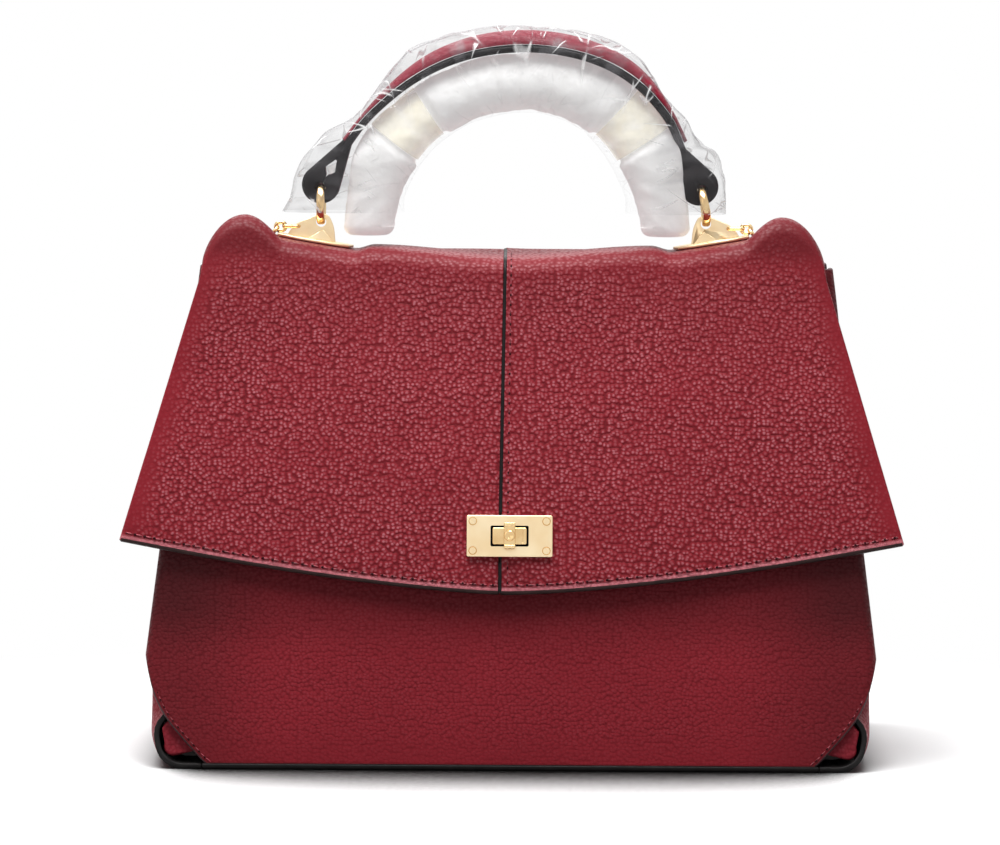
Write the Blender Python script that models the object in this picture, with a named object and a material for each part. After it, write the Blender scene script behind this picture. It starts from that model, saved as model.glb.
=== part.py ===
"""A top-handle flap bag with a turn lock, in metres, +Z up.

The origin is the middle of the base, on the surface that the bag stands on.
+X is the right of the bag seen from its front, and -Y is the front.
The flap turns on the back edge of the mouth, the handle on the line through its two rings,
and the lock's knob on the middle of the lock.
"""

import math

import bmesh
import bpy
import numpy as np
from mathutils import Matrix, Vector

# Gaps and overruns
SEAT_GAP = 0.0003
FLAP_CLEARANCE = 0.0028
CUT_OVERRUN = 0.004
SMOOTH_ANGLE = math.radians(38)

# Body: front and back panel with cut lower corners
BODY_HEIGHT = 0.196
BASE_DEPTH = 0.120
MOUTH_DEPTH = 0.048
BASE_HALF_WIDTH = 0.1445
MOUTH_HALF_WIDTH = 0.1262
PANEL_THICKNESS = 0.0020
BELLY = 0.0025
LEAN_POWER = 1.15
CUT_RUN = 0.0246
CUT_TOP = 0.044
CUT_SLOPE_SHARE = 0.643
CUT_BEND_POWER = 5
WRAP_RADIUS = 0.005
WRAP_RUN = 0.004
FLAT_SHARES = (0.0, 0.22, 0.44, 0.64, 0.78, 0.86, 0.895, 0.93, 0.965, 1.0)
PANEL_ROW_SHARES = (0.0, 0.07, 0.17, 0.3, 0.46, 0.62, 0.8, 1.0)
WRAP_STEPS = 3

# Gussets, which turn under the bag, and the base between them
GUSSET_THICKNESS = 0.0022
CORNER_RADIUS = 0.0135
BASE_CORNER_RUN = 0.0067
GUSSET_BULGE = 0.0013
PINCH = 0.008
PINCH_HEIGHT = 0.010
PINCH_END = 0.050
PINCH_SHARE = 0.72
FOLD_DEPTH = 0.018
FOLD_START = 0.060
FOLD_POWER = 1.2
EDGE_BEHIND_CUT = 0.021
EDGE_BEHIND_WRAP = 0.048
GUSSET_COLUMN_SHARES = (-1.0, -0.9, -0.76, -0.5, -0.22, 0.0, 0.22, 0.5, 0.76, 0.9, 1.0)
GUSSET_ROW_SHARES = (1.0, 0.8, 0.6, 0.42, 0.27, 0.17, 0.1, 0.055, 0.027, 0.0)
CORNER_STEPS = 5

# Corner tabs, seen through the cut corners
TAB_THICKNESS = 0.0014
TAB_REACH = 0.0095
TAB_TIP_RADIUS = 0.0035
TAB_TIP_DEGREES = -32
TAB_ROUND_DEGREES = (-100, -70, -40, -10, 20)

# Inside: board and lining
BOARD_THICKNESS = 0.0018
BOARD_MARGIN = 0.0035
LINING_THICKNESS = 0.0008
LINING_SLACK = 0.0020
LINING_DROP = 0.0020
LINING_FIT_SHARE = 0.5
LINING_ROW_SHARES = (0.0, 0.04, 0.1, 0.24, 0.42, 0.62, 0.8, 1.0)
LINING_FRONT_SHARES = (-0.96, -0.7, -0.35, 0.0, 0.35, 0.7, 0.96)
LINING_SIDE_SHARES = (-0.98, -0.76, -0.5, -0.22, 0.0, 0.22, 0.5, 0.76, 0.98)

# Flap: two leather panels on one lining
FLAP_THICKNESS = 0.0016
FLAP_LINING_THICKNESS = 0.0010
FLAP_TOP = 0.2012
FLAP_TOP_INSET = 0.0026
FLAP_FLARE = 0.0304
FLAP_CORNER_HEIGHT = 0.0898
FLAP_MIDDLE_HEIGHT = 0.0703
FLAP_EDGE_POWER = 1.5
FLAP_FOLD_RADIUS = 0.008
HINGE_BEHIND_MOUTH = 0.0015
SEAM_SHARE = -0.017
MIDDLE_RISE = 0.0020
MIDDLE_RISE_SPAN = 0.038
SEAT_FLAT_SPAN = 0.0085
BACK_BEND_SHARE = 0.5
SHOULDER_RISE = 0.0155
SHOULDER_BACK_RISE = 0.0085
SHOULDER_MIDDLE = 0.107
SHOULDER_EDGE_DROP = 0.0024
SHOULDER_POWER = 0.72
FLAP_MIDDLE_SHARES = (0.0, 0.24, 0.5, 0.76, 1.0)
FLAP_SHOULDER_SHARES = (0.0, 0.15, 0.3, 0.5, 0.68, 0.82, 0.93, 1.0)
FLAP_FOLD_STEPS = 5
FLAP_FRONT_SHARES = (0.08, 0.18, 0.32, 0.48, 0.65, 0.83, 1.0)
ANCHOR_LENGTH = 0.032
ANCHOR_HALF_WIDTH = 0.116
ANCHOR_SHARES = (-1.0, -0.5, 0.0, 0.5, 1.0)

# Turn lock
LOCK_HEIGHT = 0.0913
LOCK_ASIDE = -0.0008
LOCK_PLATE_LENGTH = 0.0338
LOCK_PLATE_HEIGHT = 0.0164
LOCK_PLATE_THICKNESS = 0.0012
LOCK_PLATE_BEVEL = 0.0004
SLOT_LENGTH = 0.0150
SLOT_HEIGHT = 0.0082
ISLAND_CLEARANCE = 0.0008
ISLAND_PROUD = 0.0006
FLANGE_BORDER = 0.0030
FLANGE_THICKNESS = 0.0008
BACKING_THICKNESS = 0.0007
BACKING_BORDER = 0.0010
WASHER_THICKNESS = 0.0008
SCREW_HEAD_RADIUS = 0.00115
SCREW_HEAD_HEIGHT = 0.0005
SCREW_SHANK_RADIUS = 0.0006
SCREW_INSET = 0.0024
SCREW_CLEARANCE = 0.0003
SCREW_CROWN_SHARE = 0.8
SCREW_SIDES = 10
KNOB_LENGTH = 0.0106
KNOB_WIDTH = 0.0045
KNOB_HEIGHT = 0.0026
KNOB_BOSS_RADIUS = 0.0029
KNOB_BOSS_RISE = 0.0005
KNOB_LIFT = 0.0005
KNOB_SHAFT_RADIUS = 0.0012
KNOB_SHAFT_CLEARANCE = 0.0003
KNOB_SHAFT_DEPTH = 0.0040
KNOB_END_STEPS = 6
KNOB_SIDES = 16

# Fin plates on the flap's top, which hold the handle's rings and the chains
FIN_SEAT_INNER = 0.0670
FIN_PLATE_LENGTH = 0.0290
FIN_PLATE_DEPTH = 0.0140
FIN_PLATE_THICKNESS = 0.0012
FIN_PLATE_SLANT = 0.0030
FIN_PLATE_TILT = math.radians(9.5)
FIN_SEAT_RISE = 0.0012
FIN_THICKNESS = 0.0018
FIN_LENGTH = 0.0195
FIN_INSET = 0.0050
FIN_HEIGHT = 0.0103
FIN_OUTLINE_SHARES = (
    (0.0, 0.0),
    (0.08, 0.58),
    (0.2, 0.92),
    (0.28, 1.0),
    (0.41, 1.0),
    (0.84, 0.52),
    (0.96, 0.2),
    (1.0, 0.0),
)
FIN_FACET_SHARES = ((0.02, 0.0), (0.30, 0.40), (0.56, 0.0))
FIN_FACET_PROUD = 0.0005
RING_HOLE_RADIUS = 0.0021
RING_HOLE_ALONG = 0.0071
RING_HOLE_HEIGHT = 0.0072
CHAIN_HOLE_RADIUS = 0.0016
CHAIN_HOLE_ALONG = 0.0152
CHAIN_HOLE_HEIGHT = 0.0040
FIN_BACKING_THICKNESS = 0.0008
FIN_BACKING_BORDER = 0.0015
FIN_HOLE_SIDES = 18

# Rings and chain
RING_RADIUS = 0.0072
RING_WIRE_RADIUS = 0.0012
FIRST_LINK_LENGTH = 0.0078
LINK_LENGTH = 0.0056
LINK_WIDTH = 0.0044
LINK_WIRE_RADIUS = 0.0005
TAIL_CONTACT = 0.0002
TAIL_LINKS = 9
LINK_BEND_STEPS = 4
WIRE_TURN_SHARES = (0.0, 0.25, 0.5, 0.75)
RING_STEPS = 24
RING_SIDES = 8
CHAIN_DROP = math.radians(50)
CHAIN_DROP_SHARES = (0.0, 0.1, 1.0)
SLOT_MARGIN = 0.0008
TAIL_SWING = math.radians(48)

# Handle
HANDLE_RISE = 0.0818
HANDLE_BAND_THICKNESS = 0.0030
HANDLE_WIDTH = 0.0220
HANDLE_LOOP_WIDTH = 0.0065
HANDLE_WIDENING = 0.036
HANDLE_CROWN = 0.0056
HANDLE_CROWN_SPAN = 0.040
HANDLE_FOOT_PULL_SHARE = 0.6375
HANDLE_APEX_PULL_SHARE = 0.49
HANDLE_FOOT_ANGLE = math.radians(58)
HANDLE_STATIONS = 13
HANDLE_LEAN = 0.0045
HANDLE_LEAN_LIFT = 0.0338
CROWN_DEGREES = (0, 25, 55, 90, 125, 155, 180)
LOOP_HOLE_RADIUS = 0.0032
LOOP_THICKNESS = 0.0045
LOOP_LIFT = 0.0079
LOOP_OPENING = 0.0105
LOOP_NECK = 0.0215
LOOP_STEPS = 9

# Packing round the handle: foam roll in three pieces, two tapes and a clear film
PACKING_SHIFT = 0.0014
FOAM_LIFT = 0.0066
FOAM_HANDLE_GAP = 0.0008
FOAM_END_RADIUS = 0.0100
FOAM_MIDDLE_RADIUS = 0.0112
FOAM_TAPED_RADIUS = 0.0094
FOAM_RIM_RADIUS = 0.0040
FOAM_RIM_DEGREES = (0, 40)
FOAM_JOINT_ANGLE = math.radians(44)
TAPE_HALF_ANGLE = math.radians(8)
TAPE_THICKNESS = 0.0005
FOAM_JOINT_GAP = 0.0006
FOAM_SIDES = 12
TAPED_SHARE = 1.15
FULL_SHARE = 1.9
FOAM_LOW_SHARES = (0.3, 0.5)
FOAM_HIGH_SHARES = (0.25, 0.5, 0.75, 1.0)
FILM_THICKNESS = 0.0004
FILM_LIFT = 0.0213
FILM_HANDLE_GAP = 0.0029
FILM_LOOP_GAP = 0.00525
FILM_FOAM_GAP = 0.0011
FILM_SIDE_GAP = 0.0025
FILM_POWER = 3.0
FILM_SPREAD_POWER = 1.4
FILM_SIDES = 14
FILM_STATIONS = 19

# Colours, as linear RGB, with roughness and metallic
LEATHER = ((0.26, 0.028, 0.038), 0.55, 0.0)
LEATHER_INSIDE = ((0.17, 0.02, 0.028), 0.7, 0.0)
EDGE_PAINT = ((0.012, 0.012, 0.014), 0.4, 0.0)
LINING_CLOTH = ((0.05, 0.045, 0.045), 0.9, 0.0)
BOARD_FIBRE = ((0.25, 0.22, 0.18), 0.9, 0.0)
GOLD = ((0.83, 0.62, 0.34), 0.22, 1.0)
FOAM_WHITE = ((0.86, 0.86, 0.87), 0.8, 0.0)
TAPE_YELLOW = ((0.84, 0.79, 0.60), 0.35, 0.0)
FILM_CLEAR = ((0.93, 0.93, 0.94), 0.12, 0.0)

# Places worked out from the sizes above
PANEL_FOOT = GUSSET_THICKNESS + SEAT_GAP
WRAP_GAP = PANEL_THICKNESS + SEAT_GAP
CUT_START = BASE_HALF_WIDTH - CUT_RUN
BASE_HALF_LENGTH = BASE_HALF_WIDTH - WRAP_GAP - CORNER_RADIUS - BASE_CORNER_RUN
FLAP_TOP_HALF_WIDTH = MOUTH_HALF_WIDTH - FLAP_TOP_INSET
FLAP_CORNER_HALF_WIDTH = FLAP_TOP_HALF_WIDTH + FLAP_FLARE
FLAP_STANDOFF = FLAP_CLEARANCE + FLAP_LINING_THICKNESS + SEAT_GAP + FLAP_THICKNESS
FLAP_STACK = FLAP_STANDOFF - FLAP_CLEARANCE
HINGE = Vector((0, MOUTH_DEPTH / 2 + HINGE_BEHIND_MOUTH, FLAP_TOP - FLAP_STACK / 2))
TAIL_PITCH = LINK_LENGTH - 4 * LINK_WIRE_RADIUS + TAIL_CONTACT
HANDLE_APEX = FLAP_TOP + HANDLE_RISE
HANDLE_LEAN_START = FLAP_TOP + HANDLE_LEAN_LIFT
BAND_TOP = HANDLE_APEX + HANDLE_BAND_THICKNESS / 2
FOAM_FOOT = FLAP_TOP + FOAM_LIFT
FILM_FOOT = FLAP_TOP + FILM_LIFT
FOAM_TOP = BAND_TOP - HANDLE_BAND_THICKNESS - FOAM_HANDLE_GAP
FOAM_RISE = FOAM_TOP - FOAM_MIDDLE_RADIUS - FOAM_FOOT
FILM_APEX_REACH = BAND_TOP + HANDLE_CROWN + FILM_HANDLE_GAP - FILM_FOOT
FILM_HALF_DEPTH = HANDLE_WIDTH / 2 + FILM_SIDE_GAP


def clear_scene():
    for obj in list(bpy.data.objects):
        bpy.data.objects.remove(obj)


def smooth(share):
    share = min(max(share, 0.0), 1.0)
    return share * share * (3 - 2 * share)


def mix(low, high, share):
    return low + (high - low) * share


# Building closed meshes


def offset_grid(grid, distance):
    """The grid moved by a distance along its own normals, columns crossed with rows."""
    along = np.gradient(grid, axis=0)
    across = np.gradient(grid, axis=1)
    normals = np.cross(across, along)
    normals /= np.linalg.norm(normals, axis=2, keepdims=True)
    return grid + normals * distance


def offset_loops(loops, distance):
    """Closed loops of points, one a row, moved along the normals of the tube that they form."""
    along = np.gradient(loops, axis=0)
    across = np.roll(loops, -1, axis=1) - np.roll(loops, 1, axis=1)
    normals = np.cross(across, along)
    normals /= np.linalg.norm(normals, axis=2, keepdims=True)
    return loops + normals * distance


def quads_of(index, closed):
    rows, columns = index.shape
    last = columns if closed else columns - 1
    faces = []
    for row in range(rows - 1):
        for column in range(last):
            after = (column + 1) % columns
            faces.append([index[row, column], index[row, after], index[row + 1, after], index[row + 1, column]])
    return faces


def sheet(outer, inner):
    """A closed sheet between two grids of the same size."""
    rows, columns = outer.shape[:2]
    count = rows * columns
    index = np.arange(count).reshape(rows, columns)
    faces = quads_of(index, False) + quads_of(index + count, False)
    border = [*index[0], *index[1:, -1], *index[-1, -2::-1], *index[-2:0:-1, 0]]
    for here, there in zip(border, border[1:] + border[:1]):
        faces.append([here, there, there + count, here + count])
    return np.concatenate([outer.reshape(-1, 3), inner.reshape(-1, 3)]), faces


def sleeve(outer, inner):
    """A tube with a wall, open at both ends."""
    rows, columns = outer.shape[:2]
    count = rows * columns
    index = np.arange(count).reshape(rows, columns)
    faces = quads_of(index, True) + quads_of(index + count, True)
    for row in (0, rows - 1):
        ends = index[row]
        for here, there in zip(ends, np.roll(ends, -1)):
            faces.append([here, there, there + count, here + count])
    return np.concatenate([outer.reshape(-1, 3), inner.reshape(-1, 3)]), faces


def loft(loops):
    """A solid through closed loops of points, one a row, with flat ends."""
    rows, columns = loops.shape[:2]
    index = np.arange(rows * columns).reshape(rows, columns)
    faces = quads_of(index, True) + [list(index[0]), list(index[-1])]
    return loops.reshape(-1, 3), faces


def ring_loft(loops):
    """A solid through closed loops that come back to the first one, such as a ring or a link."""
    rows, columns = loops.shape[:2]
    index = np.arange(rows * columns).reshape(rows, columns)
    index = np.concatenate([index, index[:1]])
    return loops.reshape(-1, 3), quads_of(index, True)


def cup(outer, inner):
    """A walled vessel: loops of its outer and inner face from the floor upwards."""
    points, faces = sleeve(outer, inner)
    count = outer.shape[0] * outer.shape[1]
    columns = outer.shape[1]
    faces = [face for face in faces if not on_first_rows(face, columns, count)]
    return points, faces + [list(range(columns)), list(range(count, count + columns))]


def on_first_rows(face, columns, count):
    return all(corner % count < columns for corner in face)


def prism(outline, low, high, axis):
    """An outline of pairs, pushed from low to high along the axis x, y or z."""
    order = {"x": (2, 0, 1), "y": (0, 2, 1), "z": (0, 1, 2)}[axis]
    loops = []
    for level in (low, high):
        flat = np.array([(*point, level) for point in outline])
        loops.append(flat[:, order])
    return loft(np.array(loops))


def block(half_sizes, centre=(0, 0, 0)):
    half_x, half_y, half_z = half_sizes
    outline = [(-half_x, -half_y), (half_x, -half_y), (half_x, half_y), (-half_x, half_y)]
    points, faces = prism(outline, -half_z, half_z, "z")
    return points + np.array(centre), faces


def circle(radius, sides, centre=(0, 0)):
    turns = np.arange(sides) * (2 * math.pi / sides)
    return [(centre[0] + radius * math.cos(turn), centre[1] + radius * math.sin(turn)) for turn in turns]


def joined(shapes):
    points = []
    faces = []
    start = 0
    for shape_points, shape_faces in shapes:
        points.append(np.asarray(shape_points))
        faces += [[corner + start for corner in face] for face in shape_faces]
        start += len(shape_points)
    return np.concatenate(points), faces


def moved(shape, matrix):
    points, faces = shape
    matrix = np.array(matrix)
    return np.asarray(points) @ matrix[:3, :3].T + matrix[:3, 3], faces


def finish_of(name, look):
    colour, roughness, metallic = look
    material = bpy.data.materials.new(name + "_finish")
    material.use_nodes = True
    shader = material.node_tree.nodes["Principled BSDF"]
    shader.inputs["Base Color"].default_value = (*colour, 1)
    shader.inputs["Roughness"].default_value = roughness
    shader.inputs["Metallic"].default_value = metallic
    return material


def add_object(name, shapes, frame=None):
    """An object from one or more closed shapes, given in the frame's own axes, or the world's without one."""
    points, faces = joined(shapes)
    mesh = bpy.data.meshes.new(name)
    mesh.from_pydata([tuple(point) for point in points.tolist()], [], [[int(c) for c in face] for face in faces])
    build = bmesh.new()
    build.from_mesh(mesh)
    bmesh.ops.recalc_face_normals(build, faces=build.faces)
    build.to_mesh(mesh)
    build.free()
    mesh.shade_smooth()
    mesh.set_sharp_from_angle(angle=SMOOTH_ANGLE)
    obj = bpy.data.objects.new(name, mesh)
    bpy.context.scene.collection.objects.link(obj)
    obj.parent = frame
    return obj


def add_piece(name, shapes, look, frame=None):
    obj = add_object(name, shapes, frame)
    obj.data.materials.append(finish_of(name, look))
    return obj


def add_helper(name, shapes, frame=None):
    """A shape that another piece is cut with or joined to, and that isn't a piece itself."""
    obj = add_object(name, shapes, frame)
    obj.hide_render = True
    obj.display_type = "WIRE"
    return obj


def combine(piece, helper, operation):
    modifier = piece.modifiers.new(operation.lower() + "_" + helper.name, "BOOLEAN")
    modifier.operation = operation
    modifier.object = helper


def add_frame(name, place, parent=None):
    """An empty whose axes are a joint's, or a seat's: place is its matrix in the world."""
    frame = bpy.data.objects.new(name, None)
    bpy.context.scene.collection.objects.link(frame)
    frame.empty_display_size = RING_RADIUS
    if parent is not None:
        frame.parent = parent
        frame["world"] = [value for row in place for value in row]
        frame.matrix_local = world_of(parent).inverted() @ place
    else:
        frame.matrix_local = place
    frame["world"] = [value for row in place for value in row]
    return frame


def world_of(frame):
    values = list(frame["world"])
    return Matrix([values[start : start + 4] for start in range(0, 16, 4)])


def in_frame(shape, frame):
    """A shape given in the world's axes, in the frame's own."""
    return moved(shape, world_of(frame).inverted())


# Body


def shell_depth(height):
    """Half the bag's depth at a height, outside, at the panels' side edges."""
    fall = (max(height, 0.0) / BODY_HEIGHT) ** LEAN_POWER
    return mix(BASE_DEPTH, MOUTH_DEPTH, fall) / 2


def panel_depth(aside, height):
    """The same with the panel's soft belly."""
    across = 1 - min(abs(aside) / BASE_HALF_WIDTH, 1.0) ** 2
    up = math.sin(math.pi * min(max(height / BODY_HEIGHT, 0.0), 1.0))
    return shell_depth(height) + BELLY * across * up


def shell_half_width(height):
    up = max(height - CUT_TOP, 0.0) / (BODY_HEIGHT - CUT_TOP)
    return mix(BASE_HALF_WIDTH, MOUTH_HALF_WIDTH, up)


def cut_height(aside):
    """Height of a panel's lower edge: flat in the middle, cut away to the corner's height at its sides."""
    share = max(abs(aside) - CUT_START, 0.0) / (BASE_HALF_WIDTH - CUT_START)
    share = min(share, 1.0)
    rise = share * mix(share**CUT_BEND_POWER, 1.0, CUT_SLOPE_SHARE)
    return mix(PANEL_FOOT, CUT_TOP, rise)


def panel_columns():
    """Half a panel from its middle outwards: share of the flat, turn round the side edge, run along the side."""
    columns = [(share, 0.0, 0.0) for share in FLAT_SHARES]
    for step in range(1, WRAP_STEPS + 1):
        columns.append((1.0, math.pi / 2 * step / WRAP_STEPS, 0.0))
    columns.append((1.0, math.pi / 2, WRAP_RUN))
    return columns


def panel_point(side, column, share):
    flat, turn, run = column
    foot = cut_height(flat * (BASE_HALF_WIDTH - WRAP_RADIUS) + WRAP_RADIUS * math.sin(turn)) + run
    height = mix(foot, BODY_HEIGHT, share)
    edge = shell_half_width(height) - WRAP_RADIUS
    aside = flat * edge + WRAP_RADIUS * math.sin(turn)
    depth = panel_depth(flat * edge, height) - WRAP_RADIUS * (1 - math.cos(turn)) - run
    return side * aside, -depth, height


def add_panel(name, facing):
    """Facing is 1 for the front and -1 for the back."""
    columns = panel_columns()
    both = [(-1, column) for column in columns[:0:-1]] + [(1, column) for column in columns]
    grid = np.array([[panel_point(side, column, share) for side, column in both] for share in PANEL_ROW_SHARES])
    inner = offset_grid(grid, -PANEL_THICKNESS)
    turn = np.array([facing, facing, 1])
    return add_piece(name, [sheet(grid * turn, inner * turn)], LEATHER)


def gusset_edge_depth(height):
    """How far a gusset reaches to the front and the back at a height."""
    at_cut = shell_depth(EDGE_BEHIND_CUT) - PANEL_THICKNESS - 2 * SEAT_GAP
    if height <= PANEL_FOOT:
        return BASE_DEPTH / 2
    if height < EDGE_BEHIND_CUT:
        return mix(BASE_DEPTH / 2, at_cut, (height - PANEL_FOOT) / (EDGE_BEHIND_CUT - PANEL_FOOT))
    inside_wrap = shell_depth(height) - WRAP_RADIUS - 2 * SEAT_GAP
    behind_panel = shell_depth(height) - PANEL_THICKNESS - 2 * SEAT_GAP
    return mix(behind_panel, inside_wrap, smooth((height - EDGE_BEHIND_CUT) / (EDGE_BEHIND_WRAP - EDGE_BEHIND_CUT)))


def gusset_aside(height, share):
    """Outer face of a gusset: pinched in behind the cut corner, and folded in towards the mouth."""
    edge = shell_half_width(height) - WRAP_GAP
    low = 1 - smooth((height - PINCH_END) / PINCH_END)
    bulge = GUSSET_BULGE * low * (1 - share**2)
    full = CORNER_RADIUS + PINCH_HEIGHT
    rise = min(max((height - CORNER_RADIUS) / PINCH_HEIGHT, 0.0), 1.0) ** 2
    fall = smooth((height - full) / (PINCH_END - full))
    near_edge = smooth((abs(share) - PINCH_SHARE) / (1 - PINCH_SHARE))
    pinch = PINCH * rise * (1 - fall) * near_edge
    up = max(height - FOLD_START, 0.0) / (BODY_HEIGHT - FOLD_START)
    fold = FOLD_DEPTH * up * (1 - abs(share)) ** FOLD_POWER
    return edge + bulge - pinch - fold


def gusset_rows():
    """Points (aside shift, height) down the side, round the corner and under the base, with the turn of each."""
    rows = [(0.0, mix(CORNER_RADIUS, BODY_HEIGHT, share), 0.0) for share in GUSSET_ROW_SHARES]
    for step in range(1, CORNER_STEPS + 1):
        turn = math.pi / 2 * step / CORNER_STEPS
        rows.append((CORNER_RADIUS * (1 - math.cos(turn)), CORNER_RADIUS * (1 - math.sin(turn)), turn))
    return rows


def add_gusset(name, side):
    grid = []
    for shift, height, turn in gusset_rows():
        depth = gusset_edge_depth(height)
        at_side = max(height, CORNER_RADIUS)
        grid.append(
            [
                (gusset_aside(max(at_side, height), share) - shift, share * depth, height)
                for share in GUSSET_COLUMN_SHARES
            ]
        )
    grid.append([(BASE_HALF_LENGTH, share * BASE_DEPTH / 2, 0.0) for share in GUSSET_COLUMN_SHARES])
    grid = np.array(grid)
    inner = offset_grid(grid, GUSSET_THICKNESS)
    inner[-1, :, 0] = BASE_HALF_LENGTH
    inner[-2:, :, 2] = GUSSET_THICKNESS
    for row in (-1, -2):
        inner[row, :, 1] = grid[row, :, 1]
    turn = np.array([side, 1, 1])
    return add_piece(name, [sheet(grid * turn, inner * turn)], LEATHER)


def add_base():
    half = (BASE_HALF_LENGTH - SEAT_GAP, BASE_DEPTH / 2, GUSSET_THICKNESS / 2)
    return add_piece("base_panel", [block(half, (0, 0, GUSSET_THICKNESS / 2))], LEATHER)


def tab_outline():
    """The tab of folded leather in a cut corner: a triangle with a round tip, tucked in behind the cut."""
    margin = GUSSET_THICKNESS + 3 * SEAT_GAP
    corner = BASE_HALF_WIDTH - WRAP_GAP - CORNER_RADIUS
    tip = CORNER_RADIUS - margin - TAB_TIP_RADIUS
    turn = math.radians(TAB_TIP_DEGREES)
    middle = (corner + tip * math.cos(turn), CORNER_RADIUS + tip * math.sin(turn))
    outline = []
    for degrees in TAB_ROUND_DEGREES:
        turn = math.radians(degrees)
        outline.append((middle[0] + TAB_TIP_RADIUS * math.cos(turn), middle[1] + TAB_TIP_RADIUS * math.sin(turn)))
    for height in (mix(CORNER_RADIUS, EDGE_BEHIND_CUT, 0.5), EDGE_BEHIND_CUT + TAB_THICKNESS):
        outline.append((gusset_aside(height, 1.0) - margin - SEAT_GAP, height))
    outline.append((outline[-1][0] - TAB_REACH, outline[-1][1]))
    outline.append((CUT_START + SEAT_GAP, PANEL_FOOT + TAB_REACH))
    outline.append((CUT_START + TAB_REACH / 2, PANEL_FOOT + TAB_REACH / 3))
    return outline


def add_tab(name, side, facing):
    loops = []
    for layer in (0.0, TAB_THICKNESS):
        loop = []
        for aside, height in tab_outline():
            depth = shell_depth(height) - PANEL_THICKNESS - SEAT_GAP - layer
            loop.append((side * aside, -facing * depth, height))
        loops.append(loop)
    return add_piece(name, [loft(np.array(loops))], LEATHER_INSIDE)


def add_board():
    depth = shell_depth(PANEL_FOOT + BOARD_THICKNESS) - PANEL_THICKNESS - BOARD_MARGIN
    middle = PANEL_FOOT + BOARD_THICKNESS / 2
    half = (BASE_HALF_LENGTH - BOARD_MARGIN, depth, BOARD_THICKNESS / 2)
    return add_piece("base_board", [block(half, (0, 0, middle))], BOARD_FIBRE)


def corner_shift(height):
    """How far the rounded lower corner brings a gusset in at a height."""
    drop = max(CORNER_RADIUS - height, 0.0)
    return CORNER_RADIUS - math.sqrt(CORNER_RADIUS**2 - drop**2)


def lining_side(height, slack):
    """Points along the inner face of the right gusset at a height, from the front to the back."""
    at = max(height, CORNER_RADIUS)
    reach = gusset_edge_depth(max(height, EDGE_BEHIND_WRAP)) if height > EDGE_BEHIND_WRAP else 0.0
    reach = max(reach, shell_depth(max(height, EDGE_BEHIND_WRAP)) - WRAP_RADIUS)
    reach = min(reach, gusset_edge_depth(height) - slack)
    face = np.array([(gusset_aside(at, share), share * reach) for share in LINING_SIDE_SHARES])
    along = np.gradient(face, axis=0)
    along /= np.linalg.norm(along, axis=1, keepdims=True)
    inwards = np.stack([-along[:, 1], along[:, 0]], axis=1)
    face = face + inwards * (GUSSET_THICKNESS + SEAT_GAP + slack)
    face[:, 0] -= corner_shift(height)
    return face


def lining_loop(height, top):
    """One turn round the inside of the bag."""
    slack = SEAT_GAP + LINING_SLACK * (1 - LINING_FIT_SHARE * height / top)
    depth_slack = PANEL_THICKNESS + slack
    side = lining_side(height, slack)
    half = side[0, 0]
    fronts = [(share * half, panel_depth(share * half, height) - depth_slack) for share in LINING_FRONT_SHARES]
    loop = [(aside, -depth, height) for aside, depth in fronts]
    loop += [(aside, depth, height) for aside, depth in side]
    loop += [(aside, depth, height) for aside, depth in fronts[::-1]]
    loop += [(-aside, depth, height) for aside, depth in side[::-1]]
    return loop


def add_lining():
    floor = PANEL_FOOT + BOARD_THICKNESS + SEAT_GAP
    top = BODY_HEIGHT - LINING_DROP
    outer = np.array([lining_loop(mix(floor, top, share), top) for share in LINING_ROW_SHARES])
    inner = offset_loops(outer, -LINING_THICKNESS)
    inner[:, :, 2] = outer[:, :, 2]
    inner[0, :, 2] += LINING_THICKNESS
    return add_piece("body_lining", [cup(outer, inner)], LINING_CLOTH)


# Flap


def seat_outer():
    return FIN_SEAT_INNER + FIN_PLATE_LENGTH


def low_ridge(aside):
    """Rise of the flap's top over its middle, on the line of the fin plates."""
    inner = FIN_SEAT_INNER - FIN_PLATE_SLANT - SEAT_GAP
    outer = seat_outer() + SEAT_GAP
    if aside < inner:
        rise = MIDDLE_RISE * smooth(aside / MIDDLE_RISE_SPAN)
        seat = FIN_SEAT_RISE - (FIN_SEAT_INNER - inner) * math.tan(FIN_PLATE_TILT)
        return mix(rise, seat, smooth((aside - MIDDLE_RISE_SPAN) / (inner - MIDDLE_RISE_SPAN)))
    if aside < outer:
        return FIN_SEAT_RISE + (aside - FIN_SEAT_INNER) * math.tan(FIN_PLATE_TILT)
    start = FIN_SEAT_RISE + (outer - FIN_SEAT_INNER) * math.tan(FIN_PLATE_TILT)
    return shoulder(aside, outer, start, SHOULDER_BACK_RISE)


def high_ridge(aside):
    """The same along the flap's front fold, where the leather stands up in two shoulders."""
    outer = seat_outer() + SEAT_GAP
    if aside < outer:
        return low_ridge(aside)
    return shoulder(aside, outer, low_ridge(outer), SHOULDER_RISE)


def shoulder(aside, start, low, peak):
    if aside < SHOULDER_MIDDLE:
        return mix(low, peak, math.sin(math.pi / 2 * (aside - start) / (SHOULDER_MIDDLE - start)))
    share = min((aside - SHOULDER_MIDDLE) / (FLAP_TOP_HALF_WIDTH - SHOULDER_MIDDLE), 1.0)
    return mix(-SHOULDER_EDGE_DROP, peak, (1 - share**2) ** SHOULDER_POWER)


def flap_front(aside, height):
    """Depth of the flap's outer face over the front panel."""
    return -panel_depth(aside, height) - FLAP_STANDOFF


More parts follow.
